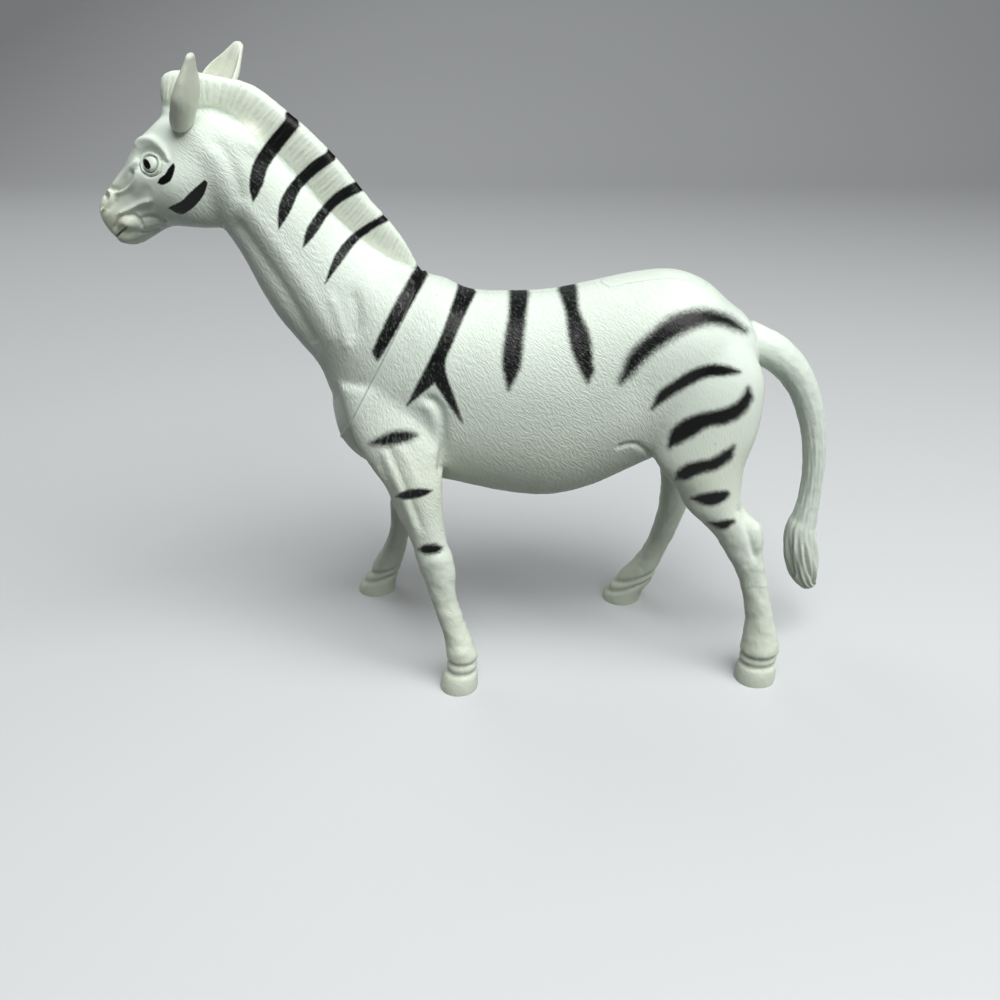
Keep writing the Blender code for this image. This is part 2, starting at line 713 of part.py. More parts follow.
# Head: the spigot is the inside of the neck, less the wall and the clearance.
head = bpy.data.objects.new("head_form", form.data.copy())
tools.objects.link(hide_tool(head))
boolean(head, 'DIFFERENCE', behind_tool)
spigot = hide_tool(lofted("spigot", tools, neck_stations(WALL + CLEARANCE)[:NECK_MOUTH_ROWS + 1]))
slab_middle = seam_point + seam_normal * ((SPIGOT_ROOT - SPIGOT_LENGTH) / 2.0)
slab = box_tool("spigot_slab", slab_middle, (SPIGOT_ROOT + SPIGOT_LENGTH, 2.0 * reach,
                                             2.0 * reach), SEAM_TILT)
boolean(spigot, 'INTERSECT', slab)
settle(spigot)
boolean(head, 'UNION', spigot)
boolean(head, 'DIFFERENCE', head_hollow)
for side, hand in ((-1.0, "left"), (1.0, "right")):
    eye = bead("eye_" + hand, on_head(*EYE_SHARES, side), (EYE_RADIUS, EYE_BULGE, EYE_RADIUS),
               HEAD_DROP)
    brow = hide_tool(lofted("brow_" + hand, tools, brow_stations(side)))
    nostril = bead("nostril_" + hand, on_head(*NOSTRIL_SHARES, side),
                   (NOSTRIL_WIDTH, NOSTRIL_WIDTH, NOSTRIL_LENGTH), HEAD_DROP)
    boolean(head, 'UNION', brow)
    boolean(head, 'UNION', eye)
    boolean(head, 'DIFFERENCE', nostril)
mouth = box_tool("mouth", on_head(*MOUTH_SHARES, 0.0, 1.0), (MOUTH_LENGTH, 2.0 * HEAD_WIDTH,
                                                           MOUTH_GAP), -MOUTH_TILT)
boolean(head, 'DIFFERENCE', mouth)
for socket in ear_sockets:
    boolean(head, 'DIFFERENCE', socket)
settle(head)


def bosses(prefix, places):
    """Rods across the hollow, one for each place of x, z and reach."""
    return [hide_tool(rod(prefix + str(index), tools, x, z, BOSS_RADIUS, -half, half))
            for index, (x, z, half) in enumerate(places)]


trunk_places = [(CHEST_X + along * TRUNK_LENGTH, BELLY_HEIGHT + height * TRUNK_DEPTH,
                 half * TRUNK_WIDTH / 2.0) for along, height, half in TRUNK_BOSS_SHARES]
neck_places = []
for along, height, half in NECK_BOSS_SHARES:
    middle = (neck_root + neck_forward * (along * NECK_LENGTH)
              + neck_rise * (height * NECK_DEPTH))
    neck_places.append((middle.x, middle.z, half * NECK_WIDTH / 2.0))

for piece, prefix, places in ((body, "trunk_boss_", trunk_places),
                              (head, "neck_boss_", neck_places)):
    for boss in bosses(prefix, places):
        boolean(piece, 'UNION', boss)
    settle(piece)


def half_shell(name, whole, side_tool, pins, operation):
    shell = bpy.data.objects.new(name, whole.data.copy())
    figure.objects.link(shell)
    boolean(shell, 'DIFFERENCE', side_tool)
    for pin in pins:
        boolean(shell, operation, pin)
    settle(shell)
    shade(shell, white)
    return shell


for whole, prefix, places in ((body, "body_shell", trunk_places),
                              (head, "head_shell", neck_places)):
    pins = [hide_tool(rod(prefix + "_pin_" + str(index), tools, x, z, PIN_RADIUS,
                          -PIN_LENGTH, PIN_LENGTH))
            for index, (x, z, _) in enumerate(places)]
    holes = [hide_tool(rod(prefix + "_hole_" + str(index), tools, x, z,
                           PIN_RADIUS + CLEARANCE, -PIN_LENGTH - CLEARANCE,
                           PIN_LENGTH + CLEARANCE))
             for index, (x, z, _) in enumerate(places)]
    half_shell(prefix + "_left", whole, right_tool, pins, 'UNION')
    half_shell(prefix + "_right", whole, left_tool, holes, 'DIFFERENCE')

# Ears and tail.
for name, place in ears:
    shade(lofted(name, figure, ear_stations(*place)), cream)
shade(lofted("tail", figure, tail_stations()), white)
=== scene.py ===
import math

import bmesh
import bpy
import numpy as np
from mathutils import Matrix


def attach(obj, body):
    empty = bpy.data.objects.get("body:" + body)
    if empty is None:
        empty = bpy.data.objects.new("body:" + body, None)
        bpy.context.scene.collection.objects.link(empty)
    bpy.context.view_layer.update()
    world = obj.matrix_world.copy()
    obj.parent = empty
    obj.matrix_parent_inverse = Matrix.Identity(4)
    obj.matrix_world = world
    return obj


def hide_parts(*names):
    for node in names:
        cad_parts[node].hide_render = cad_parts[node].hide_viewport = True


# Toy zebra: hollow moulded plastic, sprayed stripes. Metres, head to -X, left side to -Y.
# The skin is lofted, grown together, and then carved and raised point by point. Everything
# that the photograph places is laid out in its pixels and carried on to the skin.

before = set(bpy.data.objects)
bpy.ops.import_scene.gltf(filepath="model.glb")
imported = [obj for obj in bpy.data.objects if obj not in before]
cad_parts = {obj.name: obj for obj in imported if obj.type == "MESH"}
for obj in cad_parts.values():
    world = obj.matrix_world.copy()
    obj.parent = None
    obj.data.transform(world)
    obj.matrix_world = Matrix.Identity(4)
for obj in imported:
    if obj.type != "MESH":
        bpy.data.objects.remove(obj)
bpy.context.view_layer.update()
print("frame loaded with", len(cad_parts), "solids")

mm = 0.001
onward, sideways, upward = np.eye(3)

# The view: a 1000 pixel frame, and the camera that was fitted to the photograph.
view = {
    "position": (0.0019, -0.186, 0.1305),
    "pitch": math.radians(27.5),
    "focalPixels": 1000.0,
    "imageSize": 1000.0,
    "sensor": 36.0,
}
viewPlace = np.array(view["position"])
viewForward = np.array([0.0, math.cos(view["pitch"]), -math.sin(view["pitch"])])
viewDown = np.array([0.0, -math.sin(view["pitch"]), -math.cos(view["pitch"])])

look = {
    "plastic": (0.75, 0.835, 0.75, 1.0),
    "plasticShade": (0.66, 0.745, 0.64, 1.0),
    # darker, yellower tone: the plastic's own on muzzle and lips, painted shade on belly, mane's
    # foot, ears' cups
    "warm": (0.72, 0.735, 0.55, 1.0),
    # darker colour for specks of dirt, and for painted shade in grooves and on the mane's side
    "grimeAndShade": (0.30, 0.31, 0.25, 1.0),
    "paint": (0.0035, 0.0042, 0.0038, 1.0),
    # grey for the paint on raised hair that catches the light: painted highlight
    "paintSheen": (0.085, 0.095, 0.088, 1.0),
    "ear": (0.745, 0.795, 0.70, 1.0),
    "earShade": (0.66, 0.71, 0.58, 1.0),
    "plasticRoughness": 0.37,
    "paintRoughness": 0.33,
}

fineness = {
    "bodyVoxel": 0.64 * mm,
    "headVoxel": 0.48 * mm,
    "softening": 6,           # smoothing passes at the reference voxel
    "softeningVoxel": 0.90 * mm,
    "ringPoints": 48,
    "stepsPerRow": 4,
}


# Numbers and curves

def smoothStep(low, high, values):
    # 0 below low, 1 above high, and 3 s^2 - 2 s^3 of the share s between them.
    share = np.clip((values - low) / (high - low), 0.0, 1.0)
    return share * share * (3.0 - 2.0 * share)


def fadeOut(low, high, values):
    return 1.0 - smoothStep(low, high, values)


def curveThrough(rows, steps):
    # Cubic through the rows; it leaves each row along the line between that row's neighbours.
    rows = np.asarray(rows, float)
    padded = np.vstack([2 * rows[0] - rows[1], rows, 2 * rows[-1] - rows[-2]])
    a, b, c, d = padded[:-3, None], padded[1:-2, None], padded[2:-1, None], padded[3:, None]
    t = (np.arange(steps) / steps)[None, :, None]
    curve = 0.5 * (2 * b + (c - a) * t + (2 * a - 5 * b + 4 * c - d) * t ** 2
                   + (3 * b - a - 3 * c + d) * t ** 3)
    return np.vstack([curve.reshape(-1, rows.shape[1]), rows[-1:]])


def nearest(points, line):
    # For every point the distance to a bent line, the length along it, and which side (+ left).
    points = np.asarray(points, float)
    line = np.asarray(line, float)
    best = np.full(len(points), 1e9)
    along = np.zeros(len(points))
    side = np.ones(len(points))
    start = 0.0
    for a, b in zip(line, line[1:]):
        run = b - a
        length = math.hypot(run[0], run[1])
        share = np.clip((points - a) @ run / (length * length), 0.0, 1.0)
        away = points - (a + share[:, None] * run)
        distance = np.hypot(away[:, 0], away[:, 1])
        closer = distance < best
        best = np.where(closer, distance, best)
        along = np.where(closer, start + share * length, along)
        cross = run[0] * away[:, 1] - run[1] * away[:, 0]
        side = np.where(closer, np.sign(cross), side)
        start += length
    return best, along, side


def inside(points, outline):
    # Even-odd rule: a point is inside if a ray from it crosses the outline an odd number of times.
    x, y = points[:, 0], points[:, 1]
    odd = np.zeros(len(points), bool)
    for (ax, ay), (bx, by) in zip(outline, np.roll(outline, -1, axis=0)):
        if ay == by:
            continue
        crossing = (ay > y) != (by > y)
        odd ^= crossing & (x < (bx - ax) * (y - ay) / (by - ay) + ax)
    return odd


def cellValue(i, j, seed):
    # A repeatable number from 0 to 1 for each cell of a grid.
    mixed = np.sin(i * 127.1 + j * 311.7 + seed * 74.7) * 43758.5453
    return mixed - np.floor(mixed)


def strokes(along, across, length, spacing, seed):
    # Short grooves in a jittered grid: one in each cell, with its own shift, reach and depth.
    i0, j0 = np.floor(along / length), np.floor(across / spacing)
    total = np.zeros(len(along))
    for di in (-1, 0, 1):
        for dj in (-1, 0, 1):
            i, j = i0 + di, j0 + dj
            middle = (i + 0.5 + 0.7 * (cellValue(i, j, seed) - 0.5)) * length
            offset = (j + 0.5 + 0.6 * (cellValue(i, j, seed + 1) - 0.5)) * spacing
            slant = 0.5 * (cellValue(i, j, seed + 2) - 0.5)
            reach = np.abs(along - middle) / (0.75 * length)
            gap = (across - offset - slant * (along - middle)) / (0.30 * spacing)
            depth = 0.5 + 0.5 * cellValue(i, j, seed + 3)
            total += depth * np.exp(-gap * gap) * np.clip(1.0 - reach * reach, 0.0, 1.0)
    return total


# Meshes

def tube(centres, ups, sides, roundness, count):
    # Each section is a superellipse: up times |cos| and side times |sin|, both to 2 / roundness.
    angle = 2.0 * math.pi * np.arange(count) / count
    rise = np.sign(np.cos(angle)) * np.abs(np.cos(angle)) ** (2.0 / roundness)
    spread = np.sign(np.sin(angle)) * np.abs(np.sin(angle)) ** (2.0 / roundness)
    return (centres[:, None, :] + ups[:, None, :] * rise[None, :, None]
            + sides[:, None, :] * spread[None, :, None])


def closedTube(surface):
    # Quads between neighbouring sections, one cap at each end, turned to face out.
    rows, count = surface.shape[:2]
    index = np.arange(rows * count).reshape(rows, count)
    after = np.roll(index, -1, axis=1)
    quads = np.stack([index[:-1], after[:-1], after[1:], index[1:]], axis=-1).reshape(-1, 4)
    faces = quads.tolist() + [index[0][::-1].tolist(), index[-1].tolist()]
    points = surface.reshape(-1, 3)
    middle = points.mean(axis=0)
    a, b, c = (points[quads[:, k]] - middle for k in (0, 1, 2))
    if np.einsum("ij,ij->i", np.cross(a, b), c).sum() < 0.0:
        faces = [face[::-1] for face in faces]
    return points, faces


def meshFrom(name, *parts):
    # One object from closed surfaces, each of them points and faces.
    points, faces, start = [], [], 0
    for partPoints, partFaces in parts:
        points.append(partPoints)
        faces += [[start + k for k in face] for face in partFaces]
        start += len(partPoints)
    mesh = bpy.data.meshes.new(name)
    mesh.from_pydata(np.vstack(points).tolist(), [], faces)
    item = bpy.data.objects.new(name, mesh)
    bpy.context.scene.collection.objects.link(item)
    return item


def settle(item):
    # Keep the mesh that the modifiers make.
    bpy.context.view_layer.update()
    graph = bpy.context.evaluated_depsgraph_get()
    mesh = bpy.data.meshes.new_from_object(item.evaluated_get(graph))
    old = item.data
    item.modifiers.clear()
    item.data = mesh
    bpy.data.meshes.remove(old)
    return item


def remove(item):
    mesh = item.data
    bpy.data.objects.remove(item, do_unlink=True)
    bpy.data.meshes.remove(mesh)


def cut(item, *tools, operation="DIFFERENCE"):
    # Takes each tool from the item in turn, or joins it on; the tools are used up.
    for tool in tools:
        modifier = item.modifiers.new(tool.name, "BOOLEAN")
        modifier.operation = operation
        modifier.solver = "MANIFOLD"
        modifier.object = tool
        settle(item)
        remove(tool)
    return item


def boxTool(name, low, high, tilt=0.0, pivot=(0.0, 0.0, 0.0)):
    # A box from its corners, turned about Y round a point.
    x, y, z = (np.array([low[k], high[k]]) for k in range(3))
    corners = np.array([(x[i], y[j], z[k]) for i in (0, 1) for j in (0, 1) for k in (0, 1)])
    turn = np.array([[math.cos(tilt), 0.0, math.sin(tilt)], [0.0, 1.0, 0.0],
                     [-math.sin(tilt), 0.0, math.cos(tilt)]])
    corners = corners @ turn.T + np.asarray(pivot)
    faces = [[0, 1, 3, 2], [4, 6, 7, 5], [0, 4, 5, 1], [2, 3, 7, 6], [0, 2, 6, 4], [1, 5, 7, 3]]
    return meshFrom(name, (corners, faces))


def grownTogether(name, voxel, *parts):
    # All lofts as one skin: voxels join them, smoothing fills the corners between them.
    item = meshFrom(name, *parts)
    remesh = item.modifiers.new("join", "REMESH")
    remesh.mode = "VOXEL"
    remesh.voxel_size = voxel
    soften = item.modifiers.new("soften", "SMOOTH")
    soften.factor = 0.5
    soften.iterations = round(fineness["softening"] * (fineness["softeningVoxel"] / voxel) ** 2)
    return settle(item)


def subdivided(item):
    # Caps become triangles, then every face is split once and smoothed.
    caps = item.modifiers.new("caps", "TRIANGULATE")
    caps.min_vertices = 5
    modifier = item.modifiers.new("fine", "SUBSURF")
    modifier.levels = modifier.render_levels = 1
    return settle(item)


def refined(item, chosen):
    # Halves the edges that join two chosen points, so that small forms there come out crisp.
    mesh = item.data
    ends = np.empty(len(mesh.edges) * 2, np.int32)
    mesh.edges.foreach_get("vertices", ends)
    wanted = np.flatnonzero(chosen[ends].reshape(-1, 2).all(axis=1))
    finer = bmesh.new()
    finer.from_mesh(mesh)
    finer.edges.ensure_lookup_table()
    bmesh.ops.subdivide_edges(finer, edges=[finer.edges[k] for k in wanted], cuts=1,
                              use_grid_fill=True)
    finer.to_mesh(mesh)
    finer.free()
    return item


def read(items, name, width=1):
    # One row of values for each vertex or normal.
    values = np.empty(len(items) * width, np.float32)
    items.foreach_get(name, values)
    return values.reshape(-1, width).astype(float)


def coordinates(item):
    return read(item.data.vertices, "co", 3)


def setValues(mesh, name, values, kind="FLOAT", key="value"):
    # Writes an attribute of the points, over one of the same name.
    found = mesh.attributes.get(name)
    if found:
        mesh.attributes.remove(found)
    attribute = mesh.attributes.new(name, kind, "POINT")
    attribute.data.foreach_set(key, values.astype(np.float32).ravel())


# Trunk, neck, head and mane: the sections are shares of the lengths above them, and the base
# is what their low and high edges are measured from.

trunk = {
    "length": 83.2 * mm, "depth": 41.2 * mm, "width": 30.0 * mm,
    "chestX": -31.2 * mm, "base": 37.0 * mm, "roundness": 2.3,
    # along, belly, back, half width
    "rows": [
        (0.000, 0.41, 0.51, 0.13), (0.020, 0.28, 0.66, 0.43), (0.062, 0.19, 0.83, 0.67),
        (0.122, 0.13, 0.97, 0.81), (0.195, 0.09, 1.06, 0.88), (0.261, 0.08, 1.06, 0.91),
        (0.327, 0.05, 1.00, 0.93), (0.423, 0.01, 0.99, 0.97), (0.519, 0.00, 1.00, 1.00),
        (0.615, 0.05, 1.04, 1.00), (0.711, 0.15, 1.08, 1.00), (0.796, 0.24, 1.09, 0.98),
        (0.868, 0.31, 1.04, 0.90), (0.922, 0.38, 0.95, 0.77), (0.970, 0.48, 0.87, 0.55),
        (0.993, 0.57, 0.79, 0.30), (1.000, 0.64, 0.73, 0.12)],
}
neck = {
    "rootX": -20.5 * mm, "rootHeight": 66.5 * mm, "length": 45.4 * mm,
    "depth": 23.4 * mm, "width": 20.0 * mm, "tilt": math.radians(38.3),
    "base": 0.0, "roundness": 2.0,
    # along, throat, nape, half width
    "rows": [
        (-0.13, -0.60, 0.72, 1.20), (0.00, -0.58, 0.74, 1.20), (0.13, -0.49, 0.69, 1.12),
        (0.26, -0.48, 0.58, 1.02), (0.40, -0.47, 0.49, 0.90), (0.53, -0.42, 0.44, 0.82),
        (0.66, -0.35, 0.42, 0.78), (0.79, -0.31, 0.41, 0.77), (0.92, -0.29, 0.385, 0.79),
        (1.03, -0.22, 0.345, 0.73)],
}
head = {
    "length": 22.9 * mm, "depth": 20.3 * mm, "width": 16.6 * mm,
    "drop": math.radians(25.3), "pollForward": 1.0 * mm,
    "base": 0.0, "roundness": 2.0,
    # along, jaw, face, half width
    "rows": [
        (-0.46, -0.24, 0.12, 0.62), (-0.24, -0.40, 0.33, 0.80), (-0.04, -0.50, 0.48, 0.87),
        (0.15, -0.52, 0.51, 0.95), (0.28, -0.47, 0.48, 1.00), (0.41, -0.39, 0.44, 0.94),
        (0.52, -0.32, 0.38, 0.83), (0.62, -0.31, 0.31, 0.72), (0.74, -0.32, 0.26, 0.65),
        (0.85, -0.325, 0.20, 0.60), (0.93, -0.295, 0.17, 0.53), (0.98, -0.20, 0.12, 0.38),
        (1.00, -0.08, 0.06, 0.18)],
}
mane = {
    "height": 4.8 * mm, "thickness": 4.0 * mm, "root": 4.6 * mm, "roundness": 2.5,
    "lowest": 80.0 * mm, "halfWidth": 3.6 * mm,
    "ribs": (0.83 * mm, 1.37 * mm), "ribDepth": 0.045 * mm,
    "clumps": 1.3 * mm, "clumpDepth": 0.12 * mm,
    "hair": 0.50, "hairRise": 5.0 * mm, "hairRun": 1.15,    # its fine grain, as the coat's
    # where its side meets the neck, in pixels, and how far from the middle plane that is
    "foot": [(156, 103), (176, 108), (199, 110), (213, 110.5), (230, 118), (244, 128),
             (258, 140.5), (278, 158), (300, 181), (322, 206), (345, 228), (368, 248),
             (392, 262), (408, 268)],
    "footOut": 2.8 * mm,
    # along and across the neck, degrees forward of square, stand, half thickness
    "rows": [
        (0.15, 0.60, 30.0, 0.45, 0.60), (0.31, 0.53, 8.0, 1.02, 0.80),
        (0.50, 0.51, 5.0, 1.08, 0.90), (0.73, 0.49, 8.0, 1.18, 1.00),
        (0.90, 0.45, 13.0, 1.16, 1.00), (1.05, 0.37, 27.0, 1.22, 1.00),
        (1.13, 0.25, 42.0, 1.18, 1.00), (1.19, 0.13, 60.0, 1.29, 1.05),
        (1.215, 0.05, 72.0, 1.29, 1.05), (1.22, 0.00, 73.0, 1.04, 1.00),
        (1.22, -0.05, 71.0, 0.72, 0.90), (1.22, -0.10, 58.0, 0.46, 0.80),
        (1.22, -0.13, 45.0, 0.15, 0.60)],
}

# The straight lines that they lie along
neckForward = np.array([-math.sin(neck["tilt"]), 0.0, math.cos(neck["tilt"])])
neckRise = np.array([math.cos(neck["tilt"]), 0.0, math.sin(neck["tilt"])])
neckRoot = np.array([neck["rootX"], 0.0, neck["rootHeight"]])
poll = neckRoot + neckForward * neck["length"] - neckRise * head["pollForward"]
headForward = np.array([-math.cos(head["drop"]), 0.0, -math.sin(head["drop"])])
headRise = np.array([-math.sin(head["drop"]), 0.0, math.cos(head["drop"])])
trunkAxis = (trunk, trunk["chestX"] * onward, onward, upward)
neckAxis = (neck, neckRoot, neckForward, neckRise)
headAxis = (head, poll, headForward, headRise)


def lofted(values, origin, forward, rise, inset=0.0, used=slice(None), runOn=0.0):
    # Sections square to a straight line in the middle plane, each from its low edge to its high
    # one. An inset draws them in for a hollow, and runOn starts the first one earlier.
    rows = curveThrough(values["rows"][used], fineness["stepsPerRow"])
    low = values["base"] + rows[:, 1] * values["depth"] + inset
    high = values["base"] + rows[:, 2] * values["depth"] - inset
    centres = (origin + rows[:, :1] * values["length"] * forward
               + ((low + high) / 2)[:, None] * rise)
    centres[0] -= forward * runOn
    ups = ((high - low) / 2)[:, None] * rise
    sides = (rows[:, 3] * values["width"] / 2 - inset)[:, None] * sideways
    return closedTube(tube(centres, ups, sides, values["roundness"], fineness["ringPoints"]))


def maneRows():
    # Points on the neck's skin, which way the hair stands there, its height and half thickness.
    rows = curveThrough(mane["rows"], fineness["stepsPerRow"])
    skin = (neckRoot + rows[:, :1] * neck["length"] * neckForward
            + rows[:, 1:2] * neck["depth"] * neckRise)
    turn = np.radians(rows[:, 2:3])
    hair = neckRise * np.cos(turn) + neckForward * np.sin(turn)
    return skin, hair, rows[:, 3:4] * mane["height"], rows[:, 4:5] * mane["thickness"] / 2


def maneTube():
    # Sections from a root inside the neck to the crest, squarer than an ellipse, like a brush.
    skin, hair, stand, half = maneRows()
    crest, root = skin + hair * stand, skin - hair * mane["root"]
    return closedTube(tube((crest + root) / 2, (crest - root) / 2, half * sideways,
                           mane["roundness"], fineness["ringPoints"]))


# Legs: height, forward, outward, half depth, half width, as shares of the sizes above them

foreLegs = {"length": 37.0 * mm, "rootX": -14.7 * mm, "stance": 37.4 * mm,
            "depth": 7.4 * mm, "width": 7.2 * mm}
hindLegs = {"length": 37.0 * mm, "rootX": 42.4 * mm, "stance": 32.0 * mm,
            "depth": 8.8 * mm, "width": 7.2 * mm}
leftFore = [
    (1.70, -0.17, 0.44, 2.10, 1.10), (1.46, -0.09, 0.58, 2.25, 1.35),
    (1.30, -0.04, 0.66, 1.90, 1.40), (1.19, 0.00, 0.72, 1.50, 1.30),
    (1.03, 0.03, 0.76, 1.22, 1.15), (0.88, 0.07, 0.80, 0.95, 0.97),
    (0.77, 0.10, 0.83, 1.02, 1.00), (0.68, 0.12, 0.84, 0.93, 0.94),
    (0.55, 0.14, 0.87, 0.74, 0.77), (0.38, 0.19, 0.91, 0.74, 0.75),
    (0.28, 0.22, 0.94, 0.79, 0.80), (0.19, 0.24, 0.97, 0.90, 0.92),
    (0.125, 0.235, 0.98, 0.86, 0.90), (0.092, 0.23, 0.99, 0.97, 1.02),
    (0.03, 0.22, 1.00, 1.06, 1.12), (-0.04, 0.215, 1.00, 1.10, 1.16)]
rightFore = [
    (1.70, -0.17, 0.44, 2.10, 1.10), (1.46, -0.11, 0.58, 2.20, 1.35),
    (1.30, -0.08, 0.66, 1.85, 1.40), (1.19, -0.08, 0.71, 1.50, 1.30),
    (1.03, -0.09, 0.75, 1.22, 1.15), (0.84, -0.11, 0.78, 0.97, 0.97),
    (0.70, -0.13, 0.81, 0.97, 1.00), (0.59, -0.16, 0.83, 0.68, 0.77),
    (0.47, -0.18, 0.86, 0.66, 0.75), (0.36, -0.21, 0.90, 0.71, 0.78),
    (0.26, -0.25, 0.94, 0.88, 0.90), (0.18, -0.28, 0.97, 0.95, 0.95),
    (0.135, -0.30, 0.98, 0.94, 0.94), (0.10, -0.32, 0.99, 1.06, 1.04),
    (0.03, -0.35, 1.00, 1.18, 1.12), (-0.04, -0.36, 1.00, 1.22, 1.16)]
leftHind = [
    (1.98, -0.10, 0.48, 1.00, 0.70), (1.92, -0.08, 0.51, 1.75, 1.10),
    (1.80, -0.05, 0.56, 2.28, 1.42), (1.67, -0.04, 0.60, 2.46, 1.58),
    (1.46, -0.04, 0.66, 2.32, 1.60), (1.30, -0.05, 0.72, 1.98, 1.50),
    (1.16, 0.00, 0.77, 1.45, 1.30), (1.07, 0.03, 0.80, 1.33, 1.18),
    (1.01, 0.08, 0.82, 1.26, 1.08), (0.92, 0.17, 0.84, 1.21, 1.00),
    (0.84, 0.20, 0.86, 1.00, 0.92), (0.76, 0.23, 0.88, 0.81, 0.84),
    (0.69, 0.26, 0.89, 0.70, 0.78), (0.60, 0.29, 0.91, 0.65, 0.72),
    (0.49, 0.32, 0.93, 0.64, 0.72), (0.37, 0.345, 0.95, 0.68, 0.78),
    (0.27, 0.36, 0.97, 0.85, 0.90), (0.20, 0.365, 0.98, 0.95, 1.00),
    (0.135, 0.36, 0.98, 0.88, 0.95), (0.10, 0.36, 0.99, 0.92, 1.05),
    (0.04, 0.355, 1.00, 0.97, 1.12), (-0.04, 0.355, 1.00, 1.00, 1.16)]
rightHind = [
    (1.98, -0.10, 0.48, 1.00, 0.70), (1.92, -0.08, 0.51, 1.75, 1.10),
    (1.80, -0.05, 0.56, 2.26, 1.42), (1.67, -0.05, 0.60, 2.44, 1.58),
    (1.46, -0.06, 0.66, 2.28, 1.60), (1.30, -0.07, 0.71, 1.85, 1.48),
    (1.16, -0.07, 0.74, 1.36, 1.28), (1.03, -0.04, 0.76, 1.09, 1.10),
    (0.92, -0.03, 0.78, 0.93, 1.00), (0.84, -0.04, 0.79, 0.80, 0.92),
    (0.70, -0.045, 0.81, 0.72, 0.82), (0.53, -0.08, 0.84, 0.66, 0.74),
    (0.40, -0.12, 0.87, 0.62, 0.74), (0.29, -0.17, 0.89, 0.70, 0.82),
    (0.21, -0.21, 0.91, 0.88, 0.96), (0.15, -0.24, 0.92, 0.98, 1.00),
    (0.11, -0.27, 0.93, 0.98, 1.06), (0.04, -0.31, 0.94, 1.00, 1.12),
    (-0.04, -0.325, 0.94, 1.00, 1.16)]

# Each leg: sizes, rows, side, heights of its two hoof rings in millimetres, and their slope
legs = [
    (foreLegs, leftFore, -1.0, (6.4, 4.3), 0.0), (foreLegs, rightFore, 1.0, (5.8, 3.9), -0.30),
    (hindLegs, leftHind, -1.0, (6.3, 4.3), 0.0), (hindLegs, rightHind, 1.0, (5.8, 3.9), -0.38)]
hoofs = {"grooveWidth": 0.55 * mm, "grooveDepth": 0.42 * mm, "ringsReach": (9.0 * mm, 12.0 * mm)}
legSkin = {
    "between": 14.0 * mm,                   # fore legs lie ahead of this, hind legs behind it
    "trunkFrom": (38.0 * mm, 52.0 * mm),    # heights where a leg becomes trunk
    "lumps": ((1.4 * mm, 1.0), (0.62 * mm, 0.5)), "lumpHeight": 0.085 * mm,
    "lumpsFrom": (7.5 * mm, 10.0 * mm), "lumpsTo": (26.0 * mm, 48.0 * mm),
}


def legTube(values, rows, side):
    # Level ellipses, each a share of the length forward and of the stance outward.
    rows = curveThrough(rows, fineness["stepsPerRow"])
    centres = np.stack([values["rootX"] + rows[:, 1] * values["length"],
                        side * rows[:, 2] * values["stance"] / 2,
                        rows[:, 0] * values["length"]], axis=1)
    ups = (rows[:, 3] * values["depth"] / 2)[:, None] * onward
    sides = (rows[:, 4] * values["width"] / 2)[:, None] * sideways
    return closedTube(tube(centres, ups, sides, 2.0, fineness["ringPoints"]))


def wholeForm(voxel):
    return grownTogether("form", voxel, lofted(*trunkAxis), lofted(*neckAxis),
                         lofted(*headAxis), maneTube(), *(legTube(*leg[:3]) for leg in legs))


# From the skin to the photograph

def folded(points):
    # Points of the right side laid on the left, each leg's drawn over its twin.
    left = points.copy()
    right = points[:, 1] > 0.0
    left[:, 1] = -np.abs(points[:, 1])
    for values, own, twin, front in ((foreLegs, rightFore, leftFore, True),
                                     (hindLegs, rightHind, leftHind, False)):
        own, twin = np.array(own)[::-1], np.array(twin)[::-1]
        height = points[:, 2] / values["length"]
        shift = (np.interp(height, twin[:, 0], twin[:, 1])
                 - np.interp(height, own[:, 0], own[:, 1])) * values["length"]
        ofLeg = right & ((points[:, 0] < legSkin["between"]) == front)
        fade = fadeOut(*legSkin["trunkFrom"], points[:, 2])
        left[:, 0] += np.where(ofLeg, shift * fade, 0.0)
    return left


def picture(points):
    # Pixel across, pixel down and metres per pixel at each point, for the view above.
    away = points - viewPlace
    depth = away @ viewForward
    centre = view["imageSize"] / 2
    pixels = np.stack([centre + view["focalPixels"] * away[:, 0] / depth,
                       centre + view["focalPixels"] * (away @ viewDown) / depth], axis=1)
    return pixels, depth / view["focalPixels"]


def onPlane(pixels, out):
    # Where the sight line of each pixel meets the plane that lies out from the middle.
    steps = (np.asarray(pixels, float) - view["imageSize"] / 2) / view["focalPixels"]
    sight = viewForward + steps[:, :1] * onward + steps[:, 1:] * viewDown
    reach = (-out - viewPlace[1]) / sight[:, 1]
    return viewPlace + sight * reach[:, None]


def facing(points, normals):
    # How far the folded skin looks towards the view: 1 square on, 0 or less from behind.
    turned = normals.copy()
    turned[:, 1] = np.where(points[:, 1] > 0.0, -normals[:, 1], normals[:, 1])
    back = viewPlace - folded(points)
    back /= np.linalg.norm(back, axis=1)[:, None]
    return np.einsum("ij,ij->i", turned, back)
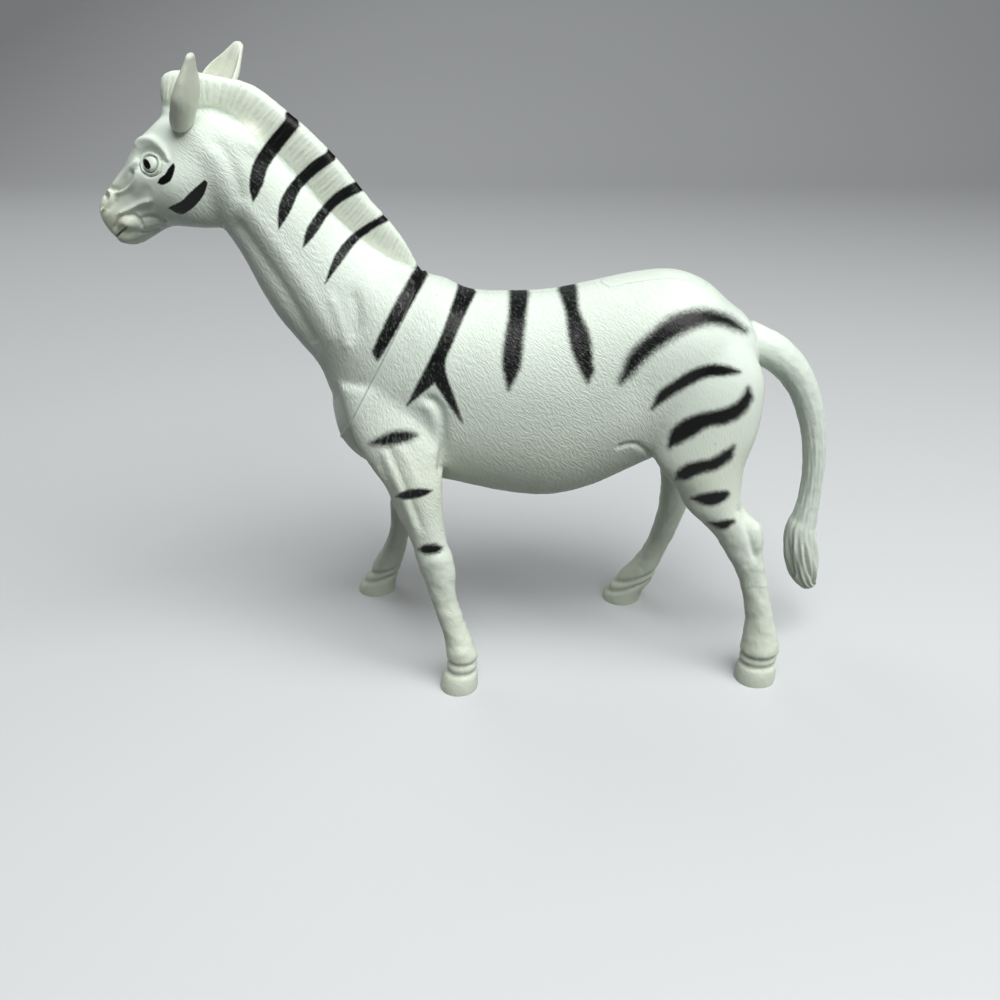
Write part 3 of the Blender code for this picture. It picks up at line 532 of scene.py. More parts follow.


# Carved lines: width in pixels, depth in millimetres (raised where negative), points. Those
# that are narrower than narrowLine are darkened too, with dirt and painted shade.
narrowLine = 1.6
carvedLines = [
    # brow shelf, the hollow under it, the fold from its end
    (4.6, -0.72, [(133.5, 147), (138, 142.5), (145, 140.5), (152.5, 141), (159, 145),
        (164, 150.5)]),
    (2.4, -0.35, [(163, 149.5), (167, 156), (168.5, 162)]),
    (2.2, 0.55, [(135.8, 159), (138.5, 153.5), (144, 150), (151, 149.6), (157, 152.5),
        (160.5, 156.5)]),
    (1.8, 0.35, [(158, 157.5), (163, 160.3), (168, 163)]),
    # lower lid
    (1.3, 0.28, [(142.8, 172.8), (149.7, 175.9), (156, 175.2), (160.4, 172.6)]),
    # nasal bone, the groove along it, the ridge below that, the hollow of the cheek
    (3.2, -0.30, [(139, 160), (132, 166), (125.5, 174), (119, 181), (112, 187)]),
    (2.0, 0.60, [(131.6, 171), (130.4, 177), (128.6, 181), (125.4, 185), (120, 188.5),
        (114.5, 190)]),
    (2.5, -0.42, [(137.5, 170), (135.5, 178), (131.5, 185.5), (125.5, 190.5), (117, 193.5)]),
    (8.0, 0.35, [(150, 186), (144, 192), (137, 198), (128, 203)]),
    # nostril, its rim, the hollow behind it
    (1.6, 1.15, [(104.8, 194.6), (107.0, 198.5), (105.4, 203.5), (102.4, 208)]),
    (1.9, -0.42, [(102.8, 193.2), (108, 190.6), (112, 194.0), (111.4, 200.0), (107.6, 205.5),
        (103.6, 210.5)]),
    (2.6, 0.22, [(108, 211), (113.5, 205), (117, 199)]),
    # mouth slit, the fold round the lips, the folds and the ridge behind them
    (0.9, 0.95, [(113.5, 239.8), (116.3, 236.9), (120.4, 233.0), (124, 229.6), (127.2, 226.4)]),
    (1.9, 0.42, [(114.5, 229), (117.4, 221.5), (121.8, 215.8), (128, 214.2), (134.5, 216.0),
        (139.8, 220.4), (143.2, 226.4)]),
    (2.3, 0.55, [(142.5, 218.6), (148.5, 216.6), (155, 217.2), (160.5, 219.6), (165.8, 224.0)]),
    (1.3, 0.55, [(140.6, 232.4), (148.8, 232.4), (154, 231.4), (159.7, 229.2)]),
    (2.7, -0.46, [(119.4, 214.2), (124.5, 211.6), (131.3, 208.2), (137, 205.2), (142.5, 202.6),
        (150, 200.6)]),
    (4.0, 0.35, [(136, 212.5), (143, 210), (151, 208.5)]),
    # back of the jaw
    (7.5, 0.50, [(214, 140), (225, 153), (233, 170), (238, 188), (239, 203)]),
    # neck: windpipe groove, muscle above it
    (6.0, 0.60, [(236, 222), (252, 244), (268, 267), (285, 292), (300, 318), (315, 345)]),
    (9.0, -0.40, [(240, 200), (262, 226), (284, 256), (305, 288), (322, 316), (336, 345)]),
    # foot of the mane
    (4.2, 0.25, mane["foot"]),
    # crease from the shoulder to the elbow and the edge before it, the hollow and the ridge
    # at the chest
    (4.4, 0.80, [(427, 398), (436, 404), (442, 416), (443.5, 434), (443, 452), (441.5, 474)]),
    (7.0, -0.35, [(420, 404), (429, 408), (434, 420), (435, 440), (433, 460)]),
    (6.0, 0.40, [(352, 292), (356, 306), (357, 322), (352, 338)]),
    (5.0, -0.30, [(330, 296), (337, 312), (343, 330), (348, 350)]),
    # tendons of the foreleg
    (3.2, 0.30, [(388, 447), (395, 463), (401.5, 479), (408, 494), (415, 511), (422, 530)]),
    (3.6, -0.20, [(382.5, 450), (389, 465), (395.5, 480), (402, 495), (409, 513), (416, 531)]),
    (3.0, 0.20, [(379, 462), (384.5, 475), (390.5, 488), (397, 503), (403.5, 519), (410, 533)]),
    (4.6, -0.22, [(398, 446), (406, 458), (412.5, 473), (417, 487)]),
    # flank fold and the ridge under it
    (1.9, 0.62, [(618, 447.5), (625, 444.8), (635, 443.8), (641, 446.6), (647, 451.5),
        (654, 461)]),
    (3.6, -0.12, [(630, 452), (634, 450.8), (641.7, 455.2), (649, 462)]),
    # tendon above the hock, the point of the hock, crease of the cannon
    (3.2, 0.50, [(739, 508), (744.5, 520), (748.5, 533), (752, 546), (756, 560)]),
    (3.0, -0.30, [(751, 519), (757, 526), (759, 536), (759.5, 550)]),
    (1.2, 0.08, [(742, 590), (752, 588.5), (766, 588.8)]),
    # buttock against the tail's root
    (2.0, 0.45, [(757, 338), (761.5, 348), (764.5, 361)]),
]

# Mounds: centre, radii in pixels, turn in degrees, height in millimetres
mounds = [
    ((150.0, 163.8), (13.0, 12.5), 0.0, -0.45),      # eye socket
    ((178.0, 182.0), (21.0, 24.0), 20.0, 0.60),      # cheek
    ((128.0, 222.4), (9.6, 6.0), 12.0, 0.95),        # upper lip
    ((126.0, 238.0), (10.0, 5.0), -10.0, 0.55),      # lower lip
    ((150.0, 225.0), (10.0, 3.4), -6.0, 0.24),       # chin muscle
    ((110.0, 212.0), (8.0, 9.0), 20.0, 0.30),        # muzzle
    ((198.0, 142.0), (24.0, 13.0), 30.0, 0.30),      # temple
    ((182.0, 129.0), (17.0, 7.5), 8.0, 0.45),        # foot of the near ear
    ((352.0, 316.0), (16.0, 28.0), -20.0, -0.45),    # hollow before the shoulder
    ((404.0, 386.0), (22.0, 36.0), 25.0, 0.35),      # shoulder blade
    ((437.0, 561.0), (11.0, 8.0), 0.0, 0.42),        # knee
    ((461.0, 655.0), (13.0, 6.0), 0.0, 0.34),        # fetlocks
    ((761.0, 655.0), (14.0, 6.0), 0.0, 0.30),
    ((757.0, 528.0), (5.0, 7.0), 0.0, 0.25),         # point of the hock
    ((700.0, 340.0), (34.0, 26.0), -20.0, 0.30),     # haunch
    ((640.0, 386.0), (20.0, 30.0), 15.0, -0.35),     # hollow before the haunch
    ((750.0, 325.0), (9.0, 5.5), 28.0, 0.38),        # dock
]

# The ball of the eye is a dome; the lids are rings round it: share of the ball's radius,
# width in pixels, depth in millimetres.
eye = {
    "centre": (149.7, 163.7), "radii": (6.6, 7.7), "height": 0.85 * mm,
    "rings": [(1.12, 0.80, 0.50), (1.39, 1.2, -0.20), (1.69, 1.0, 0.22)],
    "fineWithin": 13.0,
}
finePart = {"leftOf": 170.0, "below": 128.0}    # the face, which gets a finer mesh, in pixels

# Lie of the coat: middle of the patch and its size in pixels, and which way the hair runs,
# in degrees below level towards the tail.
coat = {
    "patches": [
        ((215, 165), 45, 38.0), ((290, 215), 60, 52.0), ((330, 290), 55, 58.0),
        ((400, 330), 50, 104.0), ((400, 430), 45, 96.0), ((480, 380), 60, 48.0),
        ((540, 430), 70, 30.0), ((610, 350), 60, 40.0), ((690, 350), 50, 62.0),
        ((710, 450), 50, 84.0)],
    "directions": (35.0, 55.0, 80.0, 104.0),
    "length": 1.5 * mm,
    "spacing": 0.78 * mm,
    "depth": 0.026 * mm,
    # bare or thin: the face and the haunch in pixels, the legs in height, beside the seam
    "face": (178.0, 228.0), "haunch": (628.0, 690.0), "legs": (20.0 * mm, 48.0 * mm),
    "clearOfSeam": 0.9 * mm, "thinned": 0.62,
    "sway": ((0.35 * mm, 2.9 * mm), (0.25 * mm, 1.3 * mm)),     # size and wave length
}
darkeningDepth = 0.5 * mm        # how deep a hollow is that is darkened in full, with dirt and painted shade


def coatPlace(left):
    # Coordinates that the coat's strokes lie in: along, and down as the view sees it.
    return np.stack([left[:, 0], -0.887 * left[:, 2] - 0.46 * left[:, 1], left[:, 1]], axis=1)


def coatWeights(pixels):
    # How much each of the four hair directions counts at a pixel.
    total = np.zeros(len(pixels))
    angle = np.zeros(len(pixels))
    for centre, size, degrees in coat["patches"]:
        pull = np.exp(-((pixels - centre) ** 2).sum(axis=1) / (2.0 * size * size)) + 1e-9
        total += pull
        angle += pull * degrees
    angle /= total
    weights = [np.exp(-((angle - degrees) / 12.0) ** 2) + 1e-6 for degrees in coat["directions"]]
    whole = sum(weights)
    return [weight / whole for weight in weights]


def bareness(pixels, points):
    # 1 on muzzle and face front, partly so on haunch and lower legs and beside the neck's seam,
    # and 0 where the coat is modelled in full.
    face = fadeOut(*coat["face"], pixels[:, 0] + 0.15 * pixels[:, 1])
    legs = fadeOut(*coat["legs"], points[:, 2])
    seam = fadeOut(0.4, 1.0, np.abs((points - seamFront) @ seamNormal) / coat["clearOfSeam"])
    haunch = coat["thinned"] * smoothStep(*coat["haunch"], pixels[:, 0])
    return np.maximum(np.maximum(face, haunch), np.maximum(coat["thinned"] * legs, 0.9 * seam))


maneFoot = curveThrough(onPlane(mane["foot"], mane["footOut"])[:, [0, 2]], 4)


def maneField(points):
    # How surely a point is on the mane, its place along the foot, and its share of the height.
    skin, hair, stand, _ = maneRows()
    top, topAlong, _ = nearest((skin + hair * stand)[:, [0, 2]], maneFoot)
    order = np.argsort(topAlong)
    distance, along, side = nearest(points[:, [0, 2]], maneFoot)
    height = distance * side
    rise = height / np.interp(along, topAlong[order], top[order])
    near = np.abs(points[:, 1]) < mane["halfWidth"]
    onMane = near * smoothStep(0.1 * mm, 0.7 * mm, height) * (points[:, 2] > mane["lowest"])
    return onMane, along, np.clip(rise, 0.0, 1.1)


def carvedBy(pixels, outer):
    # Each line is a groove or ridge with a bell-shaped section that runs out at both ends.
    offset = np.zeros(len(pixels))
    narrow = np.zeros(len(pixels))
    for width, depth, line in carvedLines:
        line = curveThrough(line, 4)
        low, high = line.min(axis=0) - 4 * width, line.max(axis=0) + 4 * width
        here = np.flatnonzero(((pixels > low) & (pixels < high)).all(axis=1))
        distance, along, _ = nearest(pixels[here], line)
        whole = np.linalg.norm(np.diff(line, axis=0), axis=1).sum()
        ends = smoothStep(-0.5 * width, 1.5 * width, np.minimum(along, whole - along)
                          + 0.4 * width)
        form = depth * mm * np.exp(-(distance / width) ** 2) * ends * outer[here]
        offset[here] -= form
        if depth > 0.0 and width < narrowLine:
            narrow[here] += form
    return offset, narrow


def shapedEye(pixels, outer):
    # The ball rises by the root of 1 - r^2, and each ring is a bell round it.
    away = np.hypot(*((pixels - eye["centre"]) / eye["radii"]).T)
    offset = eye["height"] * np.sqrt(np.clip(1.0 - (away / 1.05) ** 2, 0.0, 1.0))
    narrow = np.zeros(len(pixels))
    for share, width, depth in eye["rings"]:
        ring = depth * mm * np.exp(-((away - share) * eye["radii"][0] / width) ** 2)
        offset -= ring
        narrow += np.maximum(ring, 0.0)
    return offset * outer, narrow * outer


def hoofGrooves(points):
    # Bell-shaped grooves round each leg at its rings' heights, on planes that slope with it.
    grooves = np.zeros(len(points))
    reach, top = hoofs["ringsReach"]
    for values, rows, side, heights, slope in legs:
        footX = values["rootX"] + rows[-2][1] * values["length"]
        near = ((np.abs(points[:, 0] - footX) < reach) & (points[:, 1] * side > 0.0)
                & (points[:, 2] < top))
        level = points[:, 2] + slope * (points[:, 0] - footX)
        for height in heights:
            grooves += near * np.exp(-((level - height * mm) / hoofs["grooveWidth"]) ** 2)
    return hoofs["grooveDepth"] * grooves


def legLumps(points):
    # Uneven skin of the lower legs: sin(z + 1.5 sin x) sin(1.2 x + 1.3 sin(0.8 z + y)) at two
    # sizes, from above the hooves to the knees.
    lumps = np.zeros(len(points))
    for size, share in legSkin["lumps"]:
        x, y, z = (points / size).T
        lumps += share * (np.sin(z + 1.5 * np.sin(x))
                          * np.sin(1.2 * x + 1.3 * np.sin(0.8 * z + y)))
    return (lumps * smoothStep(*legSkin["lumpsFrom"], points[:, 2])
            * fadeOut(*legSkin["lumpsTo"], points[:, 2]))


def shaped(item):
    # Raises and carves the skin. Every form is an offset along the skin's own normal: carved
    # lines, mounds (bells on turned ellipses), eye, hooves, ribs of the mane, strokes of the coat.
    mesh = item.data
    points, normals = coordinates(item), read(mesh.vertex_normals, "vector", 3)
    left = folded(points)
    pixels, _ = picture(left)
    seen = facing(points, normals)
    outer = smoothStep(-0.05, 0.35, seen)
    offset, narrow = carvedBy(pixels, outer)
    for centre, radii, degrees, height in mounds:
        turn = math.radians(degrees)
        away = pixels - centre
        u = (away[:, 0] * math.cos(turn) + away[:, 1] * math.sin(turn)) / radii[0]
        v = (away[:, 1] * math.cos(turn) - away[:, 0] * math.sin(turn)) / radii[1]
        offset += height * mm * np.exp(-(u * u + v * v)) * outer
    ball, lids = shapedEye(pixels, outer)
    grooves = hoofGrooves(points)
    offset += ball - grooves + legSkin["lumpHeight"] * legLumps(points)
    narrow += lids + grooves
    onMane, along, rise = maneField(points)
    wander = 0.8 * np.sin(along / (3.1 * mm)) + 0.5 * np.sin(along / (1.7 * mm) + 1.0)
    ribs = np.cos(2.0 * math.pi * along / mane["ribs"][0] + wander * 2.0)
    ribs += 0.6 * np.cos(2.0 * math.pi * along / mane["ribs"][1] + wander)
    side = onMane * smoothStep(0.05, 0.30, rise) * fadeOut(0.72, 0.88, rise)
    offset += mane["ribDepth"] * ribs * side
    clump = cellValue(np.floor(along / mane["clumps"]), 0.0, 5)
    offset -= mane["clumpDepth"] * clump * onMane * smoothStep(0.80, 1.0, rise)
    bare = np.maximum(bareness(pixels, left), onMane)
    relief = np.zeros(len(points))
    u, v, _ = coatPlace(left).T
    (wide, long), (small, short) = coat["sway"]
    sway = wide * np.sin((u + 2.0 * v) / long) + small * np.sin(u / short)
    for number, (weight, degrees) in enumerate(zip(coatWeights(pixels), coat["directions"])):
        turn = math.radians(degrees)
        run = u * math.cos(turn) + v * math.sin(turn)
        across = v * math.cos(turn) - u * math.sin(turn) + sway
        relief += weight * strokes(run, across, coat["length"], coat["spacing"], 11 + 7 * number)
    offset += coat["depth"] * (0.45 - relief) * (1.0 - bare)
    # The body's edge stands a little proud of the neck along their seam.
    behind = -(points - seamFront) @ seamNormal
    offset += (joints["proud"] * smoothStep(-0.05 * mm, 0.05 * mm, behind)
               * fadeOut(*joints["proudFade"], behind))
    # Darkening for the materials: dirt and painted shade in narrow grooves, lids, hoof rings and
    # the deeper coat strokes, and painted shade over the mane's side, deepest between its ribs.
    setValues(mesh, "darkening", np.clip(narrow / darkeningDepth, 0.0, 1.0)
              + 0.25 * np.clip(relief - 0.6, 0.0, 1.0) * (1.0 - bare)
              + side * (0.45 - 0.30 * ribs))
    setValues(mesh, "seen", seen + 1.0)
    moved = points + normals * offset[:, None]
    mesh.vertices.foreach_set("co", moved.astype(np.float32).ravel())
    mesh.update()
    return item


# The seam between neck and body, and the cutters

joints = {
    "seamFront": (-29.5 * mm, 0.0, 50.5 * mm), "seamTilt": math.radians(28.8),
    "seamGap": 0.06 * mm, "halfGap": 0.03 * mm, "margin": 4.0 * mm, "proud": 0.25 * mm,
    "proudFade": (0.20 * mm, 0.80 * mm),
    "wall": 1.6 * mm, "clearance": 0.3 * mm, "spigotLength": 4.5 * mm, "spigotRoot": 2.5 * mm,
}
seamFront = np.array(joints["seamFront"])
seamNormal = np.array([-math.cos(joints["seamTilt"]), 0.0, math.sin(joints["seamTilt"])])
far = 0.4       # the reach of the cutting boxes


def seamTool(name, side, offset):
    # All that lies ahead of the seam (side -1) or behind it, moved along the seam's normal.
    low, high = min(0.0, side * far), max(0.0, side * far)
    return boxTool(name, (low, -far, -far), (high, far, far), joints["seamTilt"],
                   seamFront + seamNormal * offset)


def flatPlace(along, across):
    # The coat's coordinates on a piece whose surface is a grid.
    along, across = np.broadcast_arrays(along, across)
    return np.stack([along, across, 0 * along], axis=-1).reshape(-1, 3)


# Tail: backward and downward place and half thickness, as shares; pixels for the tuft's cleft
# and for the edge of its front lock, each with width in pixels and depth

tail = {
    "rootX": 49.0 * mm, "rootHeight": 69.7 * mm, "drop": 57.1 * mm, "reach": 21.5 * mm,
    "thickness": 7.2 * mm, "socketRows": 5,
    "rows": [
        (0.00, 0.000, 0.88), (0.12, 0.030, 1.00), (0.30, 0.065, 0.98), (0.49, 0.130, 0.88),
        (0.64, 0.222, 0.78), (0.745, 0.336, 0.69), (0.805, 0.459, 0.62), (0.82, 0.590, 0.60),
        (0.805, 0.695, 0.72), (0.785, 0.748, 0.87), (0.81, 0.821, 0.98), (0.86, 0.905, 0.93),
        (0.92, 0.965, 0.66), (0.975, 0.990, 0.38), (1.00, 1.000, 0.16)],
    "strands": 11, "strandDepth": 0.16 * mm, "twist": 2.4, "steps": 40, "around": 112,
    "clefts": [([(795, 533), (791, 548), (791.5, 561), (794, 575)], 1.7, 0.85 * mm),
               ([(804, 545), (806, 560), (810, 574), (814, 583)], 1.5, 0.35 * mm)],
    "dabHeight": 0.05 * mm, "socketGap": 0.08 * mm,
    "hair": 0.30, "hairOfTuft": 0.20, "warmthOfTuft": 0.25,
}


def tailSurface(steps, around, grow=0.0, count=None):
    # Round sections square to a bent line that falls from the rump in the middle plane.
    rows = curveThrough(tail["rows"][:count], steps)
    centres = np.stack([tail["rootX"] + rows[:, 0] * tail["reach"], np.zeros(len(rows)),
                        tail["rootHeight"] - rows[:, 1] * tail["drop"]], axis=1)
    run = np.gradient(centres, axis=0)
    run /= np.linalg.norm(run, axis=1)[:, None]
    radius = (rows[:, 2] * tail["thickness"] / 2 + grow)[:, None]
    ups = np.stack([-run[:, 2], np.zeros(len(rows)), run[:, 0]], axis=1) * radius
    return tube(centres, ups, radius * sideways, 2.0, around), centres, rows


def makeTail():
    # Round sections along a bent line, with twisted grooves that deepen into the tuft.
    surface, centres, rows = tailSurface(tail["steps"], tail["around"])
    share = rows[:, 1][:, None]
    angle = (2.0 * math.pi * np.arange(tail["around"]) / tail["around"])[None, :]
    wave = tail["twist"] * share * 2.0 * math.pi + 0.5 * np.sin(9.0 * share)
    groove = np.cos(tail["strands"] * angle + wave)
    groove += 0.6 * np.cos((tail["strands"] + 6) * angle - 1.7 * wave + 1.0)
    groove += 0.5 * np.cos((tail["strands"] - 4) * angle + 0.6 * wave + 2.0)
    deep = 0.08 + 0.26 * smoothStep(0.15, 0.60, share) + 1.0 * smoothStep(0.68, 0.85, share)
    fade = smoothStep(0.0, 0.05, share)
    offset = tail["strandDepth"] * deep * fade * (groove - 0.6)
    outward = surface - centres[:, None, :]
    outward /= np.linalg.norm(outward, axis=2)[:, :, None]
    # The tuft parts in two: a front lock that stops early and a rear one that runs to the tip.
    pixels, _ = picture(surface.reshape(-1, 3))
    cleft = sum(depth * np.exp(-(nearest(pixels, curveThrough(line, 4))[0] / width) ** 2)
                for line, width, depth in tail["clefts"])
    offset -= cleft.reshape(offset.shape) * smoothStep(0.74, 0.84, share)
    run = np.concatenate([[0.0], np.cumsum(np.linalg.norm(np.diff(centres, axis=0), axis=1))])
    # Dabs in the skin: sin(s/1.0 mm + 2 sin 3a) sin(4a + s/2.1 mm + sin(s/0.7 mm)).
    dabs = (np.sin(run[:, None] / (1.0 * mm) + 2.0 * np.sin(3.0 * angle))
            * np.sin(4.0 * angle + run[:, None] / (2.1 * mm) + np.sin(run[:, None] / (0.7 * mm))))
    offset += tail["dabHeight"] * dabs * fade * fadeOut(0.66, 0.80, share)
    surface = surface + outward * offset[:, :, None]
    item = meshFrom("tail_hair", closedTube(surface))
    hair = tail["hair"] + tail["hairOfTuft"] * smoothStep(0.6, 0.9, share) + 0 * angle
    warmth = tail["warmthOfTuft"] * smoothStep(0.6, 1.0, share) + 0 * angle
    # The grooves and the tuft's cleft are darkened by their depth: dirt and painted shade.
    dress(item, flatPlace(run[:, None], 0.45 * tail["thickness"] * (angle + 0.5 * wave)),
          [hair.ravel(), 0.0, 0.0, 0.0], np.clip(-offset / darkeningDepth, 0.0, 1.0).ravel(),
          warmth.ravel())
    return item


# Ears: along, half breadth, half thickness, how far the opening is pressed in, as shares

ear = {
    "breadth": 7.0 * mm, "thickness": 4.2 * mm, "wall": 1.1 * mm,
    "rise": 0.36, "out": 0.32, "spread": math.radians(25.0), "rim": (0.50, 0.95),
    "veins": 0.025 * mm, "edgeWave": 0.05 * mm, "socketGap": 0.06 * mm,
    # the darkening and the extra warmth of the cupped opening are painted shade
    "hair": 0.25, "darkShare": 0.25, "warmth": 0.16, "warmthInside": 0.12,
    "rows": [
        (0.00, 0.50, 0.60, 0.0), (0.07, 0.68, 0.85, 0.0), (0.20, 0.80, 0.94, 0.0),
        (0.38, 0.95, 0.98, 0.7), (0.52, 0.99, 0.86, 1.0), (0.67, 0.82, 0.66, 1.0),
        (0.78, 0.61, 0.50, 1.0), (0.89, 0.42, 0.36, 0.6), (0.97, 0.28, 0.24, 0.0),
        (1.00, 0.06, 0.08, 0.0)],
    # side, length, lean back, how far the opening turns from the middle plane to the front
    "left": (-1.0, 13.9 * mm, math.radians(22.0), math.radians(72.0)),
    "right": (1.0, 15.9 * mm, math.radians(32.0), math.radians(25.0)),
    "steps": 12, "around": 96,
}


def earSurface(side, length, lean, turn, steps, around, grow=0.0):
    # Ellipses along a straight line that leans back and out from the poll; one half axis looks
    # the way the ear opens.
    rows = curveThrough(ear["rows"], steps)
    foot = (poll + headRise * ear["rise"] * head["depth"]
            + sideways * side * ear["out"] * head["width"])
    line = np.array([math.sin(lean), side * math.sin(ear["spread"]), math.cos(lean)])
    line /= np.linalg.norm(line)
    opening = np.array([-math.sin(turn), -side * math.cos(turn), 0.0])
    opening -= line * (opening @ line)
    opening /= np.linalg.norm(opening)
    broad = np.cross(line, opening)
    centres = foot + rows[:, :1] * length * line
    centres[0] -= line * grow
    half = rows[:, 1:2] * ear["breadth"] / 2 + grow
    depth = rows[:, 2:3] * ear["thickness"] / 2 + grow
    return tube(centres, opening * depth, broad * half, 2.0, around), rows, opening, broad


def makeEar(name, side, length, lean, turn):
    # A leaf: the middle of the opening's side is pushed in until only the wall is left there.
    surface, rows, opening, broad = earSurface(side, length, lean, turn, ear["steps"],
                                               ear["around"])
    share = rows[:, 0][:, None]
    angle = (2.0 * math.pi * np.arange(ear["around"]) / ear["around"])[None, :]
    front = smoothStep(*ear["rim"], np.cos(angle))
    cup = np.clip(rows[:, 3], 0.0, 1.0)[:, None]
    spare = np.clip(rows[:, 2][:, None] * ear["thickness"] - ear["wall"], 0.0, None)
    surface = surface - opening * (cup * front * spare)[:, :, None]
    # Low ridges up the inside and faint hair up the back.
    veins = front * np.cos(11.0 * angle + 1.5) + (1.0 - front) * 0.4 * np.cos(13.0 * angle)
    surface = surface + opening * (ear["veins"] * veins
                                   * smoothStep(0.1, 0.3, share))[:, :, None]
    wave = ear["edgeWave"] * np.sin(17.0 * share + 1.0) * smoothStep(0.3, 0.6, share)
    surface = surface + broad * wave[:, :, None]
    item = meshFrom(name, closedTube(surface))
    # The cupped opening is darkened and warmed: painted shade.
    dress(item, flatPlace(share * length, 0.5 * ear["breadth"] * angle),
          [ear["hair"], 0.0, 0.0, 0.0], (cup * front * ear["darkShare"]).ravel(),
          (ear["warmth"] + ear["warmthInside"] * cup * front).ravel())
    return item


# Paint: how soft the spray's edge is in millimetres, and the outline in pixels. Every line of
# an outline is a curve that ends in a sharp corner, at the first point of the next one. The last
# of them is the pupil.

stripes = [
    (0.22, [(285.7, 119.6), (268, 141), (253.8, 163.5), (249.8, 185.8)],
     [(253, 201.8), (261.8, 185.8), (268, 166.7), (284, 144.4)],
     [(299.2, 126), (296, 117), (287, 112)]),
    (0.22, [(326.8, 152.5), (309.3, 164.5), (288.6, 186.8), (279, 207.6)],
     [(278.7, 229), (290.2, 210.7), (299.7, 190), (315.7, 174)],
     [(334.8, 159.7), (336, 152), (330, 147)]),
    (0.24, [(355.5, 182), (338, 191.6), (322, 207.6), (307.7, 228.3)],
     [(303, 247.4), (315.7, 233), (328.4, 213.9), (344.4, 199.6)],
     [(363.5, 190), (364, 184), (360, 179)]),
    (0.24, [(382.6, 215.5), (363.5, 226.7), (347.6, 239.4), (334.8, 257)],
     [(325.2, 283.3), (341.2, 261.8), (357, 241), (376.3, 226.7)],
     [(387.4, 221), (388, 216), (385, 213)]),
    (0.36, [(418, 264.5), (404.2, 288.5), (389.5, 315), (375.5, 345), (373.2, 352.9)],
     [(377.4, 360.5), (386.5, 347), (403, 318), (418, 292)],
     [(428.5, 272), (432, 262), (424, 256)]),
    (0.34, [(457.7, 289.7), (442.4, 333.7), (427, 366.3)], [(407, 405.5), (422, 393)],
     [(434.8, 382.5), (449, 404)],
     [(462.5, 422.7), (453, 395), (444.4, 366.3), (452, 343.3), (465.4, 312.7)],
     [(474, 295.5), (478, 284), (462, 279)]),
    (0.60, [(510.4, 295.5), (509.4, 316.5), (505.5, 340), (503.6, 364)],
     [(508.4, 389.2), (516, 375), (520, 362.4), (523.8, 326)],
     [(527.6, 295.5), (529, 284), (510, 284)]),
    (0.58, [(560, 292.6), (566.8, 312.7), (570.6, 341.4), (578.3, 364.4)],
     [(587.8, 382.5), (592.5, 372), (591.7, 362.4), (588.8, 335.7), (578.3, 310.8)],
     [(576.4, 290.7), (574, 280), (557, 282)]),
    (0.95, [(620.3, 382.5), (630.8, 354.8), (649.9, 335.7), (671, 318.4), (692, 311.7),
      (711, 311.7), (730.3, 318.4)],
     [(745.6, 330.9), (736, 328), (718.8, 323.2), (701.6, 324.2), (682.4, 331.8), (663.3, 343.3),
      (644.2, 358.6), (630.8, 373.9)]),
    (0.55, [(651.8, 409), (659.5, 393), (674.8, 381.6), (693.9, 370), (713, 365.3),
      (728.4, 367.2)],
     [(739.8, 372), (724.5, 374.9), (705.4, 376.8), (686.3, 386.4), (669, 396.9)]),
    (0.62, [(669, 447.6), (671, 433.2), (682.4, 421.7), (701.6, 414), (724.5, 409.3),
      (739.8, 400.7)],
     [(748.4, 387.3), (751.3, 398.8), (741.7, 414), (726.4, 422.7), (707.3, 426.5), (690, 437)]),
    (0.60, [(676.7, 479), (678.6, 471.5), (690, 463.8), (709.2, 460), (722.6, 453.3)],
     [(734, 445.7), (730.3, 458), (716.9, 468.6), (701.6, 472.4), (686.3, 479)]),
    (0.50, [(691, 498.3), (707.3, 493.5), (726.4, 491.6), (727.4, 496.4), (718.8, 503),
      (707.3, 505)]),
    (0.48, [(709.2, 523), (733, 520.3), (730.3, 525), (722.6, 528.9)]),
    (0.75, [(370.7, 443.8), (384, 436), (396.5, 432.3), (408, 432)],
     [(416.6, 435), (408, 440), (396.5, 442.8), (384, 445)]),
    (0.32, [(396.5, 496.4), (404, 491.5), (411.8, 489.7), (422, 489.2)],
     [(431.9, 490.6), (424, 495.5), (411.8, 498.3), (404, 498.8)]),
    (0.48, [(418.8, 549.3), (424, 545.5), (430.8, 544.7), (437, 545)],
     [(441.9, 547.4), (438, 552), (430.8, 553.5), (424, 553)]),
    (0.12, [(173.5, 162.9), (174.6, 168.3), (171.2, 179), (167.3, 182.8), (162, 184.6)],
     [(157.4, 183), (160, 178.5), (165, 174.4), (168.9, 168.3)]),
    (0.13, [(204.8, 180.1), (207.1, 183.6), (203.3, 195), (195.6, 205), (184.2, 213.4),
      (176.5, 212.6)], [(168.1, 208), (175, 204.5), (182.6, 200.4), (191.8, 191.2)]),
    (0.07, [(144.2, 158.8), (147, 159.8), (149.6, 163.6), (150.4, 167.6), (148.6, 169.2),
      (145.8, 167.8), (143.6, 164), (143.2, 160.4)]),
]
stripeReach = 11.0      # how far round an outline the spray is worked out, in pixels


def dress(item, place, weights, darkening, warmth, paintEdge=-9.0, paintSoft=0.2):
    # What the materials read: the coat's own coordinates in millimetres, the share of each of
    # its directions, and single values.
    mesh = item.data
    setValues(mesh, "place", place / mm, "FLOAT_VECTOR", "vector")
    shares = np.stack([np.broadcast_to(weight, len(place)) for weight in weights], axis=1)
    setValues(mesh, "coat", shares, "FLOAT_COLOR", "color")
    for name, value in (("paintEdge", paintEdge), ("paintSoft", paintSoft),
                        ("darkening", darkening), ("warmth", warmth)):
        setValues(mesh, name, np.broadcast_to(value, len(place)))


